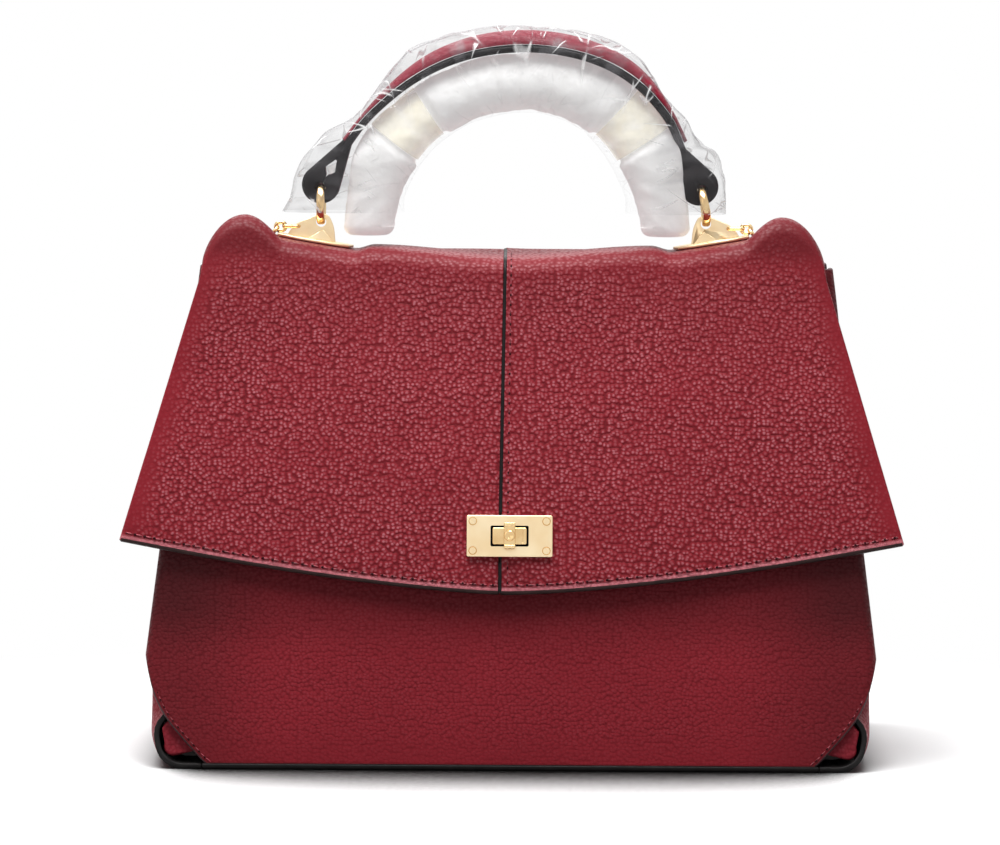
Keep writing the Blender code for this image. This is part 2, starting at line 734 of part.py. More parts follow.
def flap_shares():
    """Where the flap's columns lie on its right half: in the middle, on the plate's seat and over the shoulder."""
    inner = FIN_SEAT_INNER - FIN_PLATE_SLANT - SEAT_GAP
    outer = seat_outer() + SEAT_GAP
    asides = [share * inner for share in FLAP_MIDDLE_SHARES] + [(inner + outer) / 2]
    asides += [mix(outer, FLAP_TOP_HALF_WIDTH, share) for share in FLAP_SHOULDER_SHARES]
    return [aside / FLAP_TOP_HALF_WIDTH for aside in asides]


def flap_column(share):
    """Points down the flap's outer face, from the hinge over the fold to the lower edge."""
    top_aside = abs(share) * FLAP_TOP_HALF_WIDTH
    side = -1 if share < 0 else 1
    low = FLAP_TOP + low_ridge(top_aside)
    high = FLAP_TOP + high_ridge(top_aside)
    edge = FLAP_MIDDLE_HEIGHT + (FLAP_CORNER_HEIGHT - FLAP_MIDDLE_HEIGHT) * abs(share) ** FLAP_EDGE_POWER
    fold_y = flap_front(top_aside, high)
    bend_y = mix(SEAT_FLAT_SPAN, HINGE.y, BACK_BEND_SHARE)
    points = [(side * top_aside, HINGE.y, FLAP_TOP)]
    points.append((side * top_aside, bend_y, mix(FLAP_TOP, low, BACK_BEND_SHARE)))
    points.append((side * top_aside, SEAT_FLAT_SPAN, low))
    points.append((side * top_aside, -SEAT_FLAT_SPAN, low))
    below = flap_front(top_aside, high - FLAP_FOLD_RADIUS)
    lean = math.atan2(fold_y - below, FLAP_FOLD_RADIUS)
    turn_all = math.pi / 2 - lean
    start_y = fold_y + FLAP_FOLD_RADIUS * math.tan(turn_all / 2)
    for step in range(FLAP_FOLD_STEPS + 1):
        turn = turn_all * step / FLAP_FOLD_STEPS
        y = start_y - FLAP_FOLD_RADIUS * math.sin(turn)
        height = high - FLAP_FOLD_RADIUS * (1 - math.cos(turn))
        points.append((side * top_aside, y, height))
    last_y, last_height = points[-1][1:]
    catch_up = last_y - flap_front(top_aside, last_height)
    for down in FLAP_FRONT_SHARES:
        height = mix(last_height, edge, down)
        aside = abs(share) * mix(FLAP_TOP_HALF_WIDTH, FLAP_CORNER_HALF_WIDTH, down)
        y = flap_front(aside, height) + catch_up * (1 - down)
        points.append((side * aside, y, height))
    return points


def flap_grids(shares):
    outer = np.array([flap_column(share) for share in shares]).transpose(1, 0, 2)
    levels = (0, FLAP_THICKNESS, FLAP_THICKNESS + SEAT_GAP, FLAP_STACK)
    grids = [offset_grid(outer, level) for level in levels]
    for level, grid in zip(levels, grids):
        grid[0, :, 1] = HINGE.y
        grid[0, :, 2] = FLAP_TOP - level
    return grids


def add_flap(hinge):
    half = flap_shares()
    shares = [-share for share in half[:0:-1]] + half
    seam_gap = SEAT_GAP / FLAP_TOP_HALF_WIDTH / 2
    left = [share for share in shares if share < SEAM_SHARE - seam_gap] + [SEAM_SHARE - seam_gap]
    right = [SEAM_SHARE + seam_gap] + [share for share in shares if share > SEAM_SHARE + seam_gap]
    right.remove(0.0)
    pieces = []
    for name, part in (("flap_left_panel", left), ("flap_right_panel", right)):
        outer, under, _, _ = flap_grids(part)
        pieces.append(add_piece(name, [in_frame(sheet(outer, under), hinge)], LEATHER, hinge))
    _, _, over, inside = flap_grids(shares)
    pieces.append(add_piece("flap_lining", [in_frame(sheet(over, inside), hinge)], LEATHER_INSIDE, hinge))
    return pieces


def add_anchor():
    """The end of the flap's leather that is sewn down on the back panel, below the hinge."""
    top = HINGE.z - FLAP_STACK / 2 - SEAT_GAP
    grid = []
    for height in (top - ANCHOR_LENGTH, top - ANCHOR_LENGTH / 2, BODY_HEIGHT, top):
        depth = max(shell_depth(height) + SEAT_GAP, MOUTH_DEPTH / 2 + SEAT_GAP)
        grid.append([(ANCHOR_HALF_WIDTH * share, depth, height) for share in ANCHOR_SHARES])
    for row in grid[:2]:
        for place, (aside, _, height) in enumerate(row):
            row[place] = (aside, panel_depth(aside, height) + SEAT_GAP, height)
    under = np.array(grid)
    over = under + np.array((0, FLAP_THICKNESS, 0))
    return add_piece("flap_anchor_strip", [sheet(under, over)], LEATHER)


# Turn lock


def lock_place():
    """The lock's frame: its origin is on the front panel's face, and its +Z points out of the bag."""
    step = SLOT_HEIGHT / 2
    low = panel_depth(LOCK_ASIDE, LOCK_HEIGHT - step)
    high = panel_depth(LOCK_ASIDE, LOCK_HEIGHT + step)
    lean = math.atan2(low - high, 2 * step)
    depth = panel_depth(LOCK_ASIDE, LOCK_HEIGHT)
    turn = Matrix.Rotation(math.pi / 2 - lean, 4, "X")
    return Matrix.Translation((LOCK_ASIDE, -depth, LOCK_HEIGHT)) @ turn


def rounded_box(half_x, half_y, radius, steps=3):
    outline = []
    for quarter, (sign_x, sign_y) in enumerate(((1, 1), (-1, 1), (-1, -1), (1, -1))):
        for step in range(steps + 1):
            turn = math.pi / 2 * (quarter + step / steps)
            x = sign_x * (half_x - radius) + radius * math.cos(turn)
            y = sign_y * (half_y - radius) + radius * math.sin(turn)
            outline.append((x, y))
    return outline


def screw_places():
    x = LOCK_PLATE_LENGTH / 2 - SCREW_INSET
    y = LOCK_PLATE_HEIGHT / 2 - SCREW_INSET
    return [(x, y), (-x, y), (-x, -y), (x, -y)]


def plate_levels():
    low = FLAP_STANDOFF + SEAT_GAP
    return low, low + LOCK_PLATE_THICKNESS


def lock_hole(name, frame, growth):
    """The lock's slot with its screw holes, to cut through what lies under the lock plate."""
    low = FLANGE_THICKNESS + SEAT_GAP
    high = plate_levels()[1] + CUT_OVERRUN
    slot = prism(rounded_box(SLOT_LENGTH / 2 + growth, SLOT_HEIGHT / 2 + growth, KNOB_LIFT), low, high, "z")
    radius = SCREW_SHANK_RADIUS + SCREW_CLEARANCE
    holes = [prism(circle(radius, SCREW_SIDES, place), low, high, "z") for place in screw_places()]
    return add_helper(name, [slot, *holes], frame)


def add_lock_base(frame):
    island_x = SLOT_LENGTH / 2 - ISLAND_CLEARANCE
    island_y = SLOT_HEIGHT / 2 - ISLAND_CLEARANCE
    top = plate_levels()[1] + ISLAND_PROUD
    flange = rounded_box(island_x + FLANGE_BORDER, island_y + FLANGE_BORDER, FLANGE_BORDER / 2)
    piece = add_piece("lock_base", [prism(flange, SEAT_GAP, SEAT_GAP + FLANGE_THICKNESS, "z")], GOLD, frame)
    island = prism(rounded_box(island_x, island_y, KNOB_LIFT), 2 * SEAT_GAP, top, "z")
    combine(piece, add_helper("lock_island", [island], frame), "UNION")
    bore = circle(KNOB_SHAFT_RADIUS + KNOB_SHAFT_CLEARANCE, KNOB_SIDES)
    depth = top - KNOB_SHAFT_DEPTH - KNOB_SHAFT_CLEARANCE
    combine(piece, add_helper("knob_bore", [prism(bore, depth, top + CUT_OVERRUN, "z")], frame), "DIFFERENCE")
    return top


def add_lock_washer(frame):
    """The plate inside the front panel that the lock's base is clenched to."""
    high = -PANEL_THICKNESS - SEAT_GAP
    half_x = SLOT_LENGTH / 2 + FLANGE_BORDER
    half_y = SLOT_HEIGHT / 2 + FLANGE_BORDER
    shape = prism(rounded_box(half_x, half_y, FLANGE_BORDER), high - WASHER_THICKNESS, high, "z")
    add_piece("lock_washer", [shape], GOLD, frame)


def add_knob(frame, island_top):
    """A turn bar across the slot, round at its ends, with a boss in its middle and a shaft into the island."""
    low = island_top + KNOB_LIFT
    end = KNOB_WIDTH / 2
    outline = []
    for middle, start in ((KNOB_LENGTH / 2 - end, 0), (end - KNOB_LENGTH / 2, 1)):
        for step in range(KNOB_END_STEPS + 1):
            turn = math.pi * (start + step / KNOB_END_STEPS)
            outline.append((end * math.cos(turn), middle + end * math.sin(turn)))
    top = low + KNOB_HEIGHT
    waist = []
    for level, growth in ((low, 0.0), (top - KNOB_LIFT, 0.0), (top, -KNOB_LIFT)):
        scale = 1 + growth / end
        waist.append([(x * scale, y * scale, level) for x, y in outline])
    piece = add_piece("turn_knob", [loft(np.array(waist))], GOLD, frame)
    boss = prism(circle(KNOB_BOSS_RADIUS, KNOB_SIDES), low + KNOB_LIFT, top + KNOB_BOSS_RISE, "z")
    shaft = prism(circle(KNOB_SHAFT_RADIUS, KNOB_SIDES), island_top - KNOB_SHAFT_DEPTH, low + KNOB_LIFT, "z")
    combine(piece, add_helper("knob_boss", [boss], frame), "UNION")
    combine(piece, add_helper("knob_shaft", [shaft], frame), "UNION")


def add_lock_plate(frame):
    low, high = plate_levels()
    loops = []
    for level, inset in ((low, 0.0), (high - LOCK_PLATE_BEVEL, 0.0), (high, LOCK_PLATE_BEVEL)):
        outline = rounded_box(LOCK_PLATE_LENGTH / 2 - inset, LOCK_PLATE_HEIGHT / 2 - inset, LOCK_PLATE_BEVEL)
        loops.append([(x, y, level) for x, y in outline])
    piece = add_piece("lock_plate", [loft(np.array(loops))], GOLD, frame)
    combine(piece, lock_hole("lock_plate_hole", frame, 0.0), "DIFFERENCE")
    backing_high = FLAP_CLEARANCE - 2 * SEAT_GAP
    half_x = LOCK_PLATE_LENGTH / 2 - BACKING_BORDER
    half_y = LOCK_PLATE_HEIGHT / 2 - BACKING_BORDER / 2
    shape = prism(rounded_box(half_x, half_y, BACKING_BORDER), backing_high - BACKING_THICKNESS, backing_high, "z")
    backing = add_piece("lock_backing_plate", [shape], GOLD, frame)
    combine(backing, lock_hole("backing_hole", frame, 0.0), "DIFFERENCE")


def add_lock_screws(frame):
    low = plate_levels()[1] + SEAT_GAP
    high = low + SCREW_HEAD_HEIGHT
    foot = FLAP_CLEARANCE - 2 * SEAT_GAP - BACKING_THICKNESS
    for number, place in enumerate(screw_places(), 1):
        loops = []
        for radius, level in (
            (SCREW_SHANK_RADIUS, foot),
            (SCREW_SHANK_RADIUS, low),
            (SCREW_HEAD_RADIUS, low),
            (SCREW_HEAD_RADIUS, (low + high) / 2),
            (SCREW_HEAD_RADIUS * SCREW_CROWN_SHARE, high),
        ):
            loops.append([(x, y, level) for x, y in circle(radius, SCREW_SIDES, place)])
        add_piece(f"lock_plate_screw_{number}", [loft(np.array(loops))], GOLD, frame)


# Fin plates, rings and chain


def fin_place(side):
    """A fin plate's frame: its origin is at the plate's inner end on the leather, and +X runs outwards."""
    height = FLAP_TOP + FIN_SEAT_RISE + SEAT_GAP
    outwards = Vector((side * math.cos(FIN_PLATE_TILT), 0, math.sin(FIN_PLATE_TILT)))
    up = Vector((-side * math.sin(FIN_PLATE_TILT), 0, math.cos(FIN_PLATE_TILT)))
    across = up.cross(outwards)
    turn = Matrix((outwards, across, up)).transposed().to_4x4()
    return Matrix.Translation((side * FIN_SEAT_INNER, 0, height)) @ turn


def fin_point(side, along, height):
    return fin_place(side) @ Vector((along, 0, FIN_PLATE_THICKNESS + height))


def ring_centre(side):
    return fin_point(side, RING_HOLE_ALONG + FIN_INSET, RING_HOLE_HEIGHT) + Vector((0, 0, RING_RADIUS))


def fin_outline(shares):
    return [(FIN_INSET + along * FIN_LENGTH, FIN_PLATE_THICKNESS + up * FIN_HEIGHT) for along, up in shares]


def sunk(outline):
    """The outline with its foot let into the plate, so that the two join."""
    foot = FIN_PLATE_THICKNESS / 2
    first, last = outline[0], outline[-1]
    return [(last[0], foot), (first[0], foot), *outline]


def add_fin_plate(name, side, hinge):
    frame = add_frame(name + "_seat", fin_place(side), hinge)
    back = side
    front_y = -back * FIN_PLATE_DEPTH / 2
    rear_y = -front_y
    outline = [
        (0.0, front_y),
        (FIN_PLATE_LENGTH - FIN_PLATE_SLANT / 3, front_y),
        (FIN_PLATE_LENGTH, rear_y),
        (-FIN_PLATE_SLANT, rear_y),
    ]
    piece = add_piece(name, [prism(outline, 0.0, FIN_PLATE_THICKNESS, "z")], GOLD, frame)
    half = FIN_THICKNESS / 2
    fin = prism(sunk(fin_outline(FIN_OUTLINE_SHARES)), -half, half, "y")
    combine(piece, add_helper(name + "_fin", [fin], frame), "UNION")
    facet = prism(sunk(fin_outline(FIN_FACET_SHARES)), -half - FIN_FACET_PROUD, half + FIN_FACET_PROUD, "y")
    combine(piece, add_helper(name + "_facet", [facet], frame), "UNION")
    holes = []
    for along, up, radius in (
        (RING_HOLE_ALONG, RING_HOLE_HEIGHT, RING_HOLE_RADIUS),
        (CHAIN_HOLE_ALONG, CHAIN_HOLE_HEIGHT, CHAIN_HOLE_RADIUS),
    ):
        centre = (FIN_INSET + along, FIN_PLATE_THICKNESS + up)
        holes.append(prism(circle(radius, FIN_HOLE_SIDES, centre), -CUT_OVERRUN, CUT_OVERRUN, "y"))
    combine(piece, add_helper(name + "_holes", holes, frame), "DIFFERENCE")
    return frame


def add_fin_backing(name, frame):
    """The plate under the flap that a fin plate is riveted to."""
    high = -2 * SEAT_GAP - FLAP_STACK
    low = high - FIN_BACKING_THICKNESS
    outline = rounded_box(
        FIN_PLATE_LENGTH / 2 - FIN_BACKING_BORDER,
        FIN_PLATE_DEPTH / 2 - FIN_BACKING_BORDER,
        FIN_BACKING_BORDER,
    )
    plate = [(x + FIN_PLATE_LENGTH / 2, y) for x, y in outline]
    add_piece(name, [prism(plate, low, high, "z")], GOLD, frame)


def torus(radius, wire):
    """A ring round the X axis."""
    loops = []
    for turn in np.arange(RING_STEPS) * (2 * math.pi / RING_STEPS):
        loop = []
        for around in np.arange(RING_SIDES) * (2 * math.pi / RING_SIDES):
            out = radius + wire * math.cos(around)
            loop.append((wire * math.sin(around), out * math.cos(turn), out * math.sin(turn)))
        loops.append(loop)
    return ring_loft(np.array(loops))


def add_ring(name, side, parent):
    frame = add_frame(name + "_axis", Matrix.Translation(ring_centre(side)), parent)
    add_piece(name, [torus(RING_RADIUS, RING_WIRE_RADIUS)], GOLD, frame)


def link_shape(length=LINK_LENGTH):
    """One chain link, long along X and flat in the XY plane."""
    bend = LINK_WIDTH / 2 - LINK_WIRE_RADIUS
    straight = (length - LINK_WIDTH) / 2
    loops = []
    for middle, start in ((straight, -0.5), (-straight, 0.5)):
        for step in range(LINK_BEND_STEPS + 1):
            turn = math.pi * (start + step / LINK_BEND_STEPS)
            loop = []
            for share in WIRE_TURN_SHARES:
                out = bend + LINK_WIRE_RADIUS * math.cos(2 * math.pi * share)
                up = LINK_WIRE_RADIUS * math.sin(2 * math.pi * share)
                loop.append((middle + out * math.cos(turn), out * math.sin(turn), up))
            loops.append(loop)
    return ring_loft(np.array(loops))


def chain_places(side):
    """Length and frame of each link from a fin's outer hole to the slot, and the point that the rest hangs from."""
    wire = fin_point(side, FIN_INSET + CHAIN_HOLE_ALONG, CHAIN_HOLE_HEIGHT)
    places = []
    for number, share in enumerate(CHAIN_DROP_SHARES):
        drop = CHAIN_DROP * share
        heading = Vector((side * math.cos(drop), 0, -math.sin(drop)))
        across = Vector((0, 1, 0))
        up = heading.cross(across)
        if number % 2:
            across, up = up, -across
        turn = Matrix((heading, across, up)).transposed().to_4x4()
        length = LINK_LENGTH if number else FIRST_LINK_LENGTH
        end = wire + heading * (length - 2 * LINK_WIRE_RADIUS)
        places.append((length, Matrix.Translation((wire + end) / 2) @ turn))
        wire = end - heading * (2 * LINK_WIRE_RADIUS + SEAT_GAP)
    return places, end + Vector((0, 0, 2 * LINK_WIRE_RADIUS + SEAT_GAP))


def add_chain(side, name, hinge):
    places, pivot = chain_places(side)
    for number, (length, place) in enumerate(places, 1):
        add_piece(f"{name}_chain_link_{number}", [in_frame(moved(link_shape(length), place), hinge)], GOLD, hinge)
    frame = add_frame(name + "_chain_tail_pivot", Matrix.Translation(pivot), hinge)
    tail = None
    for number in range(TAIL_LINKS):
        drop = LINK_LENGTH / 2 - LINK_WIRE_RADIUS + TAIL_PITCH * number
        turn = Matrix.Rotation(math.pi / 2, 4, "Y") @ Matrix.Rotation(math.pi / 2 * (number + 1), 4, "X")
        link = moved(link_shape(), Matrix.Translation((0, 0, -drop)) @ turn)
        if tail is None:
            tail = add_piece(name + "_chain_tail", [link], GOLD, frame)
        else:
            combine(tail, add_helper(f"{name}_tail_link_{number + 1}", [link], frame), "UNION")
    return pivot


def chain_slot(side, hinge, pivot):
    """The slot in the flap that the chain goes down through, long enough for its swing as the flap opens."""
    swing = LINK_LENGTH * math.sin(TAIL_SWING)
    half_x = LINK_WIDTH / 2 + SLOT_MARGIN
    half_y = LINK_WIDTH / 2 + SLOT_MARGIN + swing / 2
    reach = FLAP_STACK + CUT_OVERRUN
    name = "left" if side < 0 else "right"
    shape = prism(rounded_box(half_x, half_y, LINK_WIDTH / 2), -reach, reach, "z")
    place = Matrix.Translation(pivot + Vector((0, swing / 2, 0)))
    return add_helper(name + "_chain_slot", [in_frame(moved(shape, place), hinge)], hinge)


# Handle


def bezier(points, share):
    first, second, third, fourth = (np.array(point) for point in points)
    rest = 1 - share
    return rest**3 * first + 3 * rest**2 * share * second + 3 * rest * share**2 * third + share**3 * fourth


def loop_middle():
    """Middle of the round hole in the handle's right loop."""
    centre = ring_centre(1)
    return centre.x, centre.z + LOOP_LIFT


def foot_pull():
    """How far the band's curve is drawn out straight from its loop."""
    return (HANDLE_APEX - loop_middle()[1]) * HANDLE_FOOT_PULL_SHARE


def handle_half(share):
    """Point on the right half of the handle's band, from its loop at 0 to the apex at 1."""
    x, z = loop_middle()
    pull = foot_pull()
    rise = (x - pull * math.cos(HANDLE_FOOT_ANGLE), z + pull * math.sin(HANDLE_FOOT_ANGLE))
    return bezier(((x, z), rise, (x * HANDLE_APEX_PULL_SHARE, HANDLE_APEX), (0.0, HANDLE_APEX)), share)


def handle_path(first_share):
    """Stations over the whole handle: place, outward normal and distance from the nearer loop."""
    shares = np.linspace(first_share, 1.0, HANDLE_STATIONS)
    right = np.array([handle_half(share) for share in shares])
    left = right[-2::-1] * np.array((-1, 1))
    places = np.concatenate([right, left])
    heading = np.gradient(places, axis=0)
    heading /= np.linalg.norm(heading, axis=1, keepdims=True)
    normals = np.stack([heading[:, 1], -heading[:, 0]], axis=1)
    foot = np.array(loop_middle())
    away = np.minimum(
        np.linalg.norm(places - foot, axis=1),
        np.linalg.norm(places - foot * np.array((-1, 1)), axis=1),
    )
    return places, normals, away


def leaned(points, shift=0.0):
    """The handle leans a little to its right, more the higher it is. The packing is also shifted aside."""
    points = np.array(points)
    rise = np.clip((points[..., 2] - HANDLE_LEAN_START) / (HANDLE_APEX - HANDLE_LEAN_START), 0, 1)
    points[..., 0] += shift + HANDLE_LEAN * rise**2 * (3 - 2 * rise)
    return points


def handle_width(away):
    return mix(HANDLE_LOOP_WIDTH, HANDLE_WIDTH, smooth((away - LOOP_OPENING) / HANDLE_WIDENING))


def add_handle(pivot):
    places, normals, away = handle_path(first_share=LOOP_OPENING / foot_pull() / 2)
    loops = []
    half = HANDLE_BAND_THICKNESS / 2
    for place, normal, reach in zip(places, normals, away):
        width = handle_width(reach) / 2
        low = place - normal * half
        high = place + normal * half
        loops.append(
            [(low[0], -width, low[1]), (high[0], -width, high[1]), (high[0], width, high[1]), (low[0], width, low[1])]
        )
    band = add_piece("handle_band", [in_frame(loft(leaned(loops)), pivot)], EDGE_PAINT, pivot)
    for side, name in ((-1, "left"), (1, "right")):
        combine(band, add_helper(name + "_loop", [in_frame(loop_shape(side), pivot)], pivot), "UNION")
    add_piece("handle_cover", [in_frame(crown_shape(), pivot)], LEATHER, pivot)


def teardrop(radius, reach, tip):
    """Outline round a circle, drawn out to a small tip along +X."""
    lean = math.acos((radius - tip) / reach)
    outline = []
    for step in range(LOOP_STEPS):
        turn = lean + (2 * math.pi - 2 * lean) * step / (LOOP_STEPS - 1)
        outline.append((radius * math.cos(turn), radius * math.sin(turn)))
    for turn in (-lean, 0.0, lean):
        outline.append((reach + tip * math.cos(turn), tip * math.sin(turn)))
    return outline


def loop_shape(side):
    """The strap's loop round a ring: a teardrop band in the XZ plane."""
    x, z = loop_middle()
    inside = teardrop(LOOP_HOLE_RADIUS, LOOP_OPENING, SEAT_GAP)
    outside = teardrop(LOOP_HOLE_RADIUS + LOOP_THICKNESS, LOOP_NECK, HANDLE_BAND_THICKNESS / 2)
    turn = HANDLE_FOOT_ANGLE
    half = HANDLE_LOOP_WIDTH / 2
    loops = []
    for near, far in zip(inside, outside):
        loop = []
        for (along, across), y in ((near, -half), (far, -half), (far, half), (near, half)):
            dx = -along * math.cos(turn) - across * math.sin(turn)
            dz = along * math.sin(turn) - across * math.cos(turn)
            loop.append((side * (x + dx), y, z + dz))
        loops.append(loop)
    return ring_loft(np.array(loops))


def crown_shape():
    """The padded upper leather: flat under, domed over."""
    places, normals, away = handle_path(first_share=(LOOP_NECK + HANDLE_BAND_THICKNESS) / foot_pull() / 3)
    loops = []
    lift = HANDLE_BAND_THICKNESS / 2 + SEAT_GAP
    for place, normal, reach in zip(places, normals, away):
        width = handle_width(reach) / 2
        crown = mix(HANDLE_BAND_THICKNESS / 2, HANDLE_CROWN, smooth((reach - LOOP_OPENING) / HANDLE_CROWN_SPAN))
        loop = []
        for degrees in CROWN_DEGREES:
            turn = math.radians(degrees)
            point = place + normal * (lift + crown * math.sin(turn))
            loop.append((point[0], width * math.cos(turn), point[1]))
        loops.append(loop)
    return loft(leaned(loops))


# Packing


def loop_edge(side_way):
    """How far from the bag's middle the round end of a handle's loop reaches: inwards at -1 and outwards at 1."""
    return loop_middle()[0] + side_way * (LOOP_HOLE_RADIUS + LOOP_THICKNESS)


def foam_half_span():
    return loop_edge(-1) - FOAM_END_RADIUS


def foam_middle(angle):
    return np.array((foam_half_span() * math.cos(angle), FOAM_FOOT + FOAM_RISE * math.sin(angle)))


def foam_frame(angle):
    """Centre and outward direction of the foam roll at an angle round its arch, 0 at the right foot."""
    out = np.array((math.cos(angle) / foam_half_span(), math.sin(angle) / FOAM_RISE))
    return foam_middle(angle), out / np.linalg.norm(out)


def foam_loop(angle, radius, drop=0.0):
    centre, out = foam_frame(angle)
    loop = []
    for around in np.arange(FOAM_SIDES) * (2 * math.pi / FOAM_SIDES):
        reach = radius * math.cos(around)
        point = centre + out * reach
        loop.append((point[0], radius * math.sin(around), point[1] + drop))
    return loop


def foam_radius(angle):
    """Full in the middle, thinner at the feet and drawn in where the tape goes round."""
    angle = min(angle, math.pi - angle)
    full = mix(FOAM_END_RADIUS, FOAM_MIDDLE_RADIUS, smooth(angle / FOAM_JOINT_ANGLE))
    near = abs(angle - FOAM_JOINT_ANGLE) / TAPE_HALF_ANGLE
    return mix(FOAM_TAPED_RADIUS, full, smooth((near - TAPED_SHARE) / (FULL_SHARE - TAPED_SHARE)))


def foam_end_loops():
    """The rounded rim at the roll's right foot."""
    loops = []
    for degrees in FOAM_RIM_DEGREES:
        turn = math.radians(degrees)
        inset = FOAM_RIM_RADIUS * (1 - math.sin(turn))
        lift = FOAM_RIM_RADIUS * (1 - math.cos(turn))
        loops.append(foam_loop(0.0, FOAM_END_RADIUS - inset, lift))
    return loops


def add_foam(pivot):
    gap = FOAM_JOINT_GAP / FOAM_RISE / 2
    rim = FOAM_RIM_RADIUS / FOAM_RISE
    taped = TAPE_HALF_ANGLE * TAPED_SHARE
    full = TAPE_HALF_ANGLE * FULL_SHARE
    low = [rim, *(FOAM_JOINT_ANGLE * share for share in FOAM_LOW_SHARES)]
    low += [FOAM_JOINT_ANGLE - full, FOAM_JOINT_ANGLE - taped, FOAM_JOINT_ANGLE - gap]
    high = [FOAM_JOINT_ANGLE + gap, FOAM_JOINT_ANGLE + taped, FOAM_JOINT_ANGLE + full]
    high += [mix(high[-1], math.pi / 2, share) for share in FOAM_HIGH_SHARES]
    high += [math.pi - angle for angle in high[-2::-1]]
    right = np.array(foam_end_loops() + [foam_loop(angle, foam_radius(angle)) for angle in low])
    shapes = {
        "foam_right": right,
        "foam_left": right * np.array((-1, 1, 1)),
        "foam_middle": np.array([foam_loop(angle, foam_radius(angle)) for angle in high]),
    }
    for name, loops in shapes.items():
        add_piece(name, [in_frame(loft(leaned(loops, PACKING_SHIFT)), pivot)], FOAM_WHITE, pivot)
    inner = FOAM_TAPED_RADIUS + SEAT_GAP
    angles = np.linspace(FOAM_JOINT_ANGLE - TAPE_HALF_ANGLE, FOAM_JOINT_ANGLE + TAPE_HALF_ANGLE, 4)
    under = np.array([foam_loop(angle, inner) for angle in angles])
    over = np.array([foam_loop(angle, inner + TAPE_THICKNESS) for angle in angles])
    for name, side in (("tape_right", 1), ("tape_left", -1)):
        turn = np.array((side, 1, 1))
        shape = sleeve(leaned(over * turn, PACKING_SHIFT), leaned(under * turn, PACKING_SHIFT))
        add_piece(name, [in_frame(shape, pivot)], TAPE_YELLOW, pivot)


def film_reach_inner(angle):
    """Distance from the film's middle to the foam's inner side, along a direction in the XZ plane."""
    span = foam_half_span() - FOAM_MIDDLE_RADIUS - FILM_FOAM_GAP
    rise = FOAM_RISE - FOAM_MIDDLE_RADIUS - FILM_FOAM_GAP
    drop = (FILM_FOOT - FOAM_FOOT) / rise
    along = math.cos(angle) / span
    up = math.sin(angle) / rise
    square = along**2 + up**2
    return (math.sqrt((up * drop) ** 2 + square * (1 - drop**2)) - up * drop) / square


def film_loop(angle, inset):
    spread = (1 - math.sin(angle)) ** FILM_SPREAD_POWER
    outer = mix(FILM_APEX_REACH, loop_edge(1) + FILM_LOOP_GAP, spread) - inset
    inner = film_reach_inner(angle) + inset
    depth = FILM_HALF_DEPTH - inset
    loop = []
    for around in (np.arange(FILM_SIDES) + 0.5) * (2 * math.pi / FILM_SIDES):
        cosine, sine = math.cos(around), math.sin(around)
        across = math.copysign(abs(cosine) ** (2 / FILM_POWER), cosine)
        deep = math.copysign(abs(sine) ** (2 / FILM_POWER), sine)
        reach = (outer + inner) / 2 + (outer - inner) / 2 * across
        with_foam = PACKING_SHIFT * (1 - across) / 2
        loop.append((reach * math.cos(angle) + with_foam, depth * deep, FILM_FOOT + reach * math.sin(angle)))
    return loop


def add_film(pivot):
    angles = np.linspace(0.0, math.pi, FILM_STATIONS)
    over = leaned([film_loop(angle, 0.0) for angle in angles])
    under = leaned([film_loop(angle, FILM_THICKNESS) for angle in angles])
    add_piece("handle_film", [in_frame(sleeve(over, under), pivot)], FILM_CLEAR, pivot)


def add_body():
    add_panel("front_panel", 1)
    add_panel("back_panel", -1)
    add_gusset("left_gusset", -1)
    add_gusset("right_gusset", 1)
    add_base()
    for facing, place in ((1, "front"), (-1, "back")):
        for side, hand in ((-1, "left"), (1, "right")):
            add_tab(f"{place}_{hand}_corner_tab", side, facing)
    add_board()
    add_lining()
    add_anchor()


def add_moving():
    hinge = add_frame("flap_hinge", Matrix.Translation(HINGE))
    left_panel, right_panel, flap_lining = add_flap(hinge)
    lock_on_body = add_frame("lock_axis", lock_place())
    island_top = add_lock_base(lock_on_body)
    add_lock_washer(lock_on_body)
    add_knob(lock_on_body, island_top)
    lock_on_flap = add_frame("lock_plate_seat", lock_place(), hinge)
    add_lock_plate(lock_on_flap)
    add_lock_screws(lock_on_flap)
    hole = lock_hole("lock_hole", lock_on_flap, SEAT_GAP)
    for piece in (left_panel, right_panel, flap_lining):
        combine(piece, hole, "DIFFERENCE")
    for side, hand, panel in ((-1, "left", left_panel), (1, "right", right_panel)):
        seat = add_fin_plate(hand + "_fin_plate", side, hinge)
        add_fin_backing(hand + "_fin_backing", seat)
        pivot = add_chain(side, hand, hinge)
        slot = chain_slot(side, hinge, pivot)
        combine(panel, slot, "DIFFERENCE")
        combine(flap_lining, slot, "DIFFERENCE")
        add_ring(hand + "_ring", side, hinge)
    middle = (ring_centre(1) + ring_centre(-1)) / 2
    handle = add_frame("handle_pivot", Matrix.Translation(middle), hinge)
    add_handle(handle)
    add_foam(handle)
    add_film(handle)


clear_scene()
add_body()
add_moving()
bpy.context.view_layer.update()
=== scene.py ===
"""Looks of a burgundy leather flap bag with a turn lock, its handle still in foam and film."""

import math

import bmesh
import bpy
import numpy as np
from mathutils import Matrix, Vector, noise


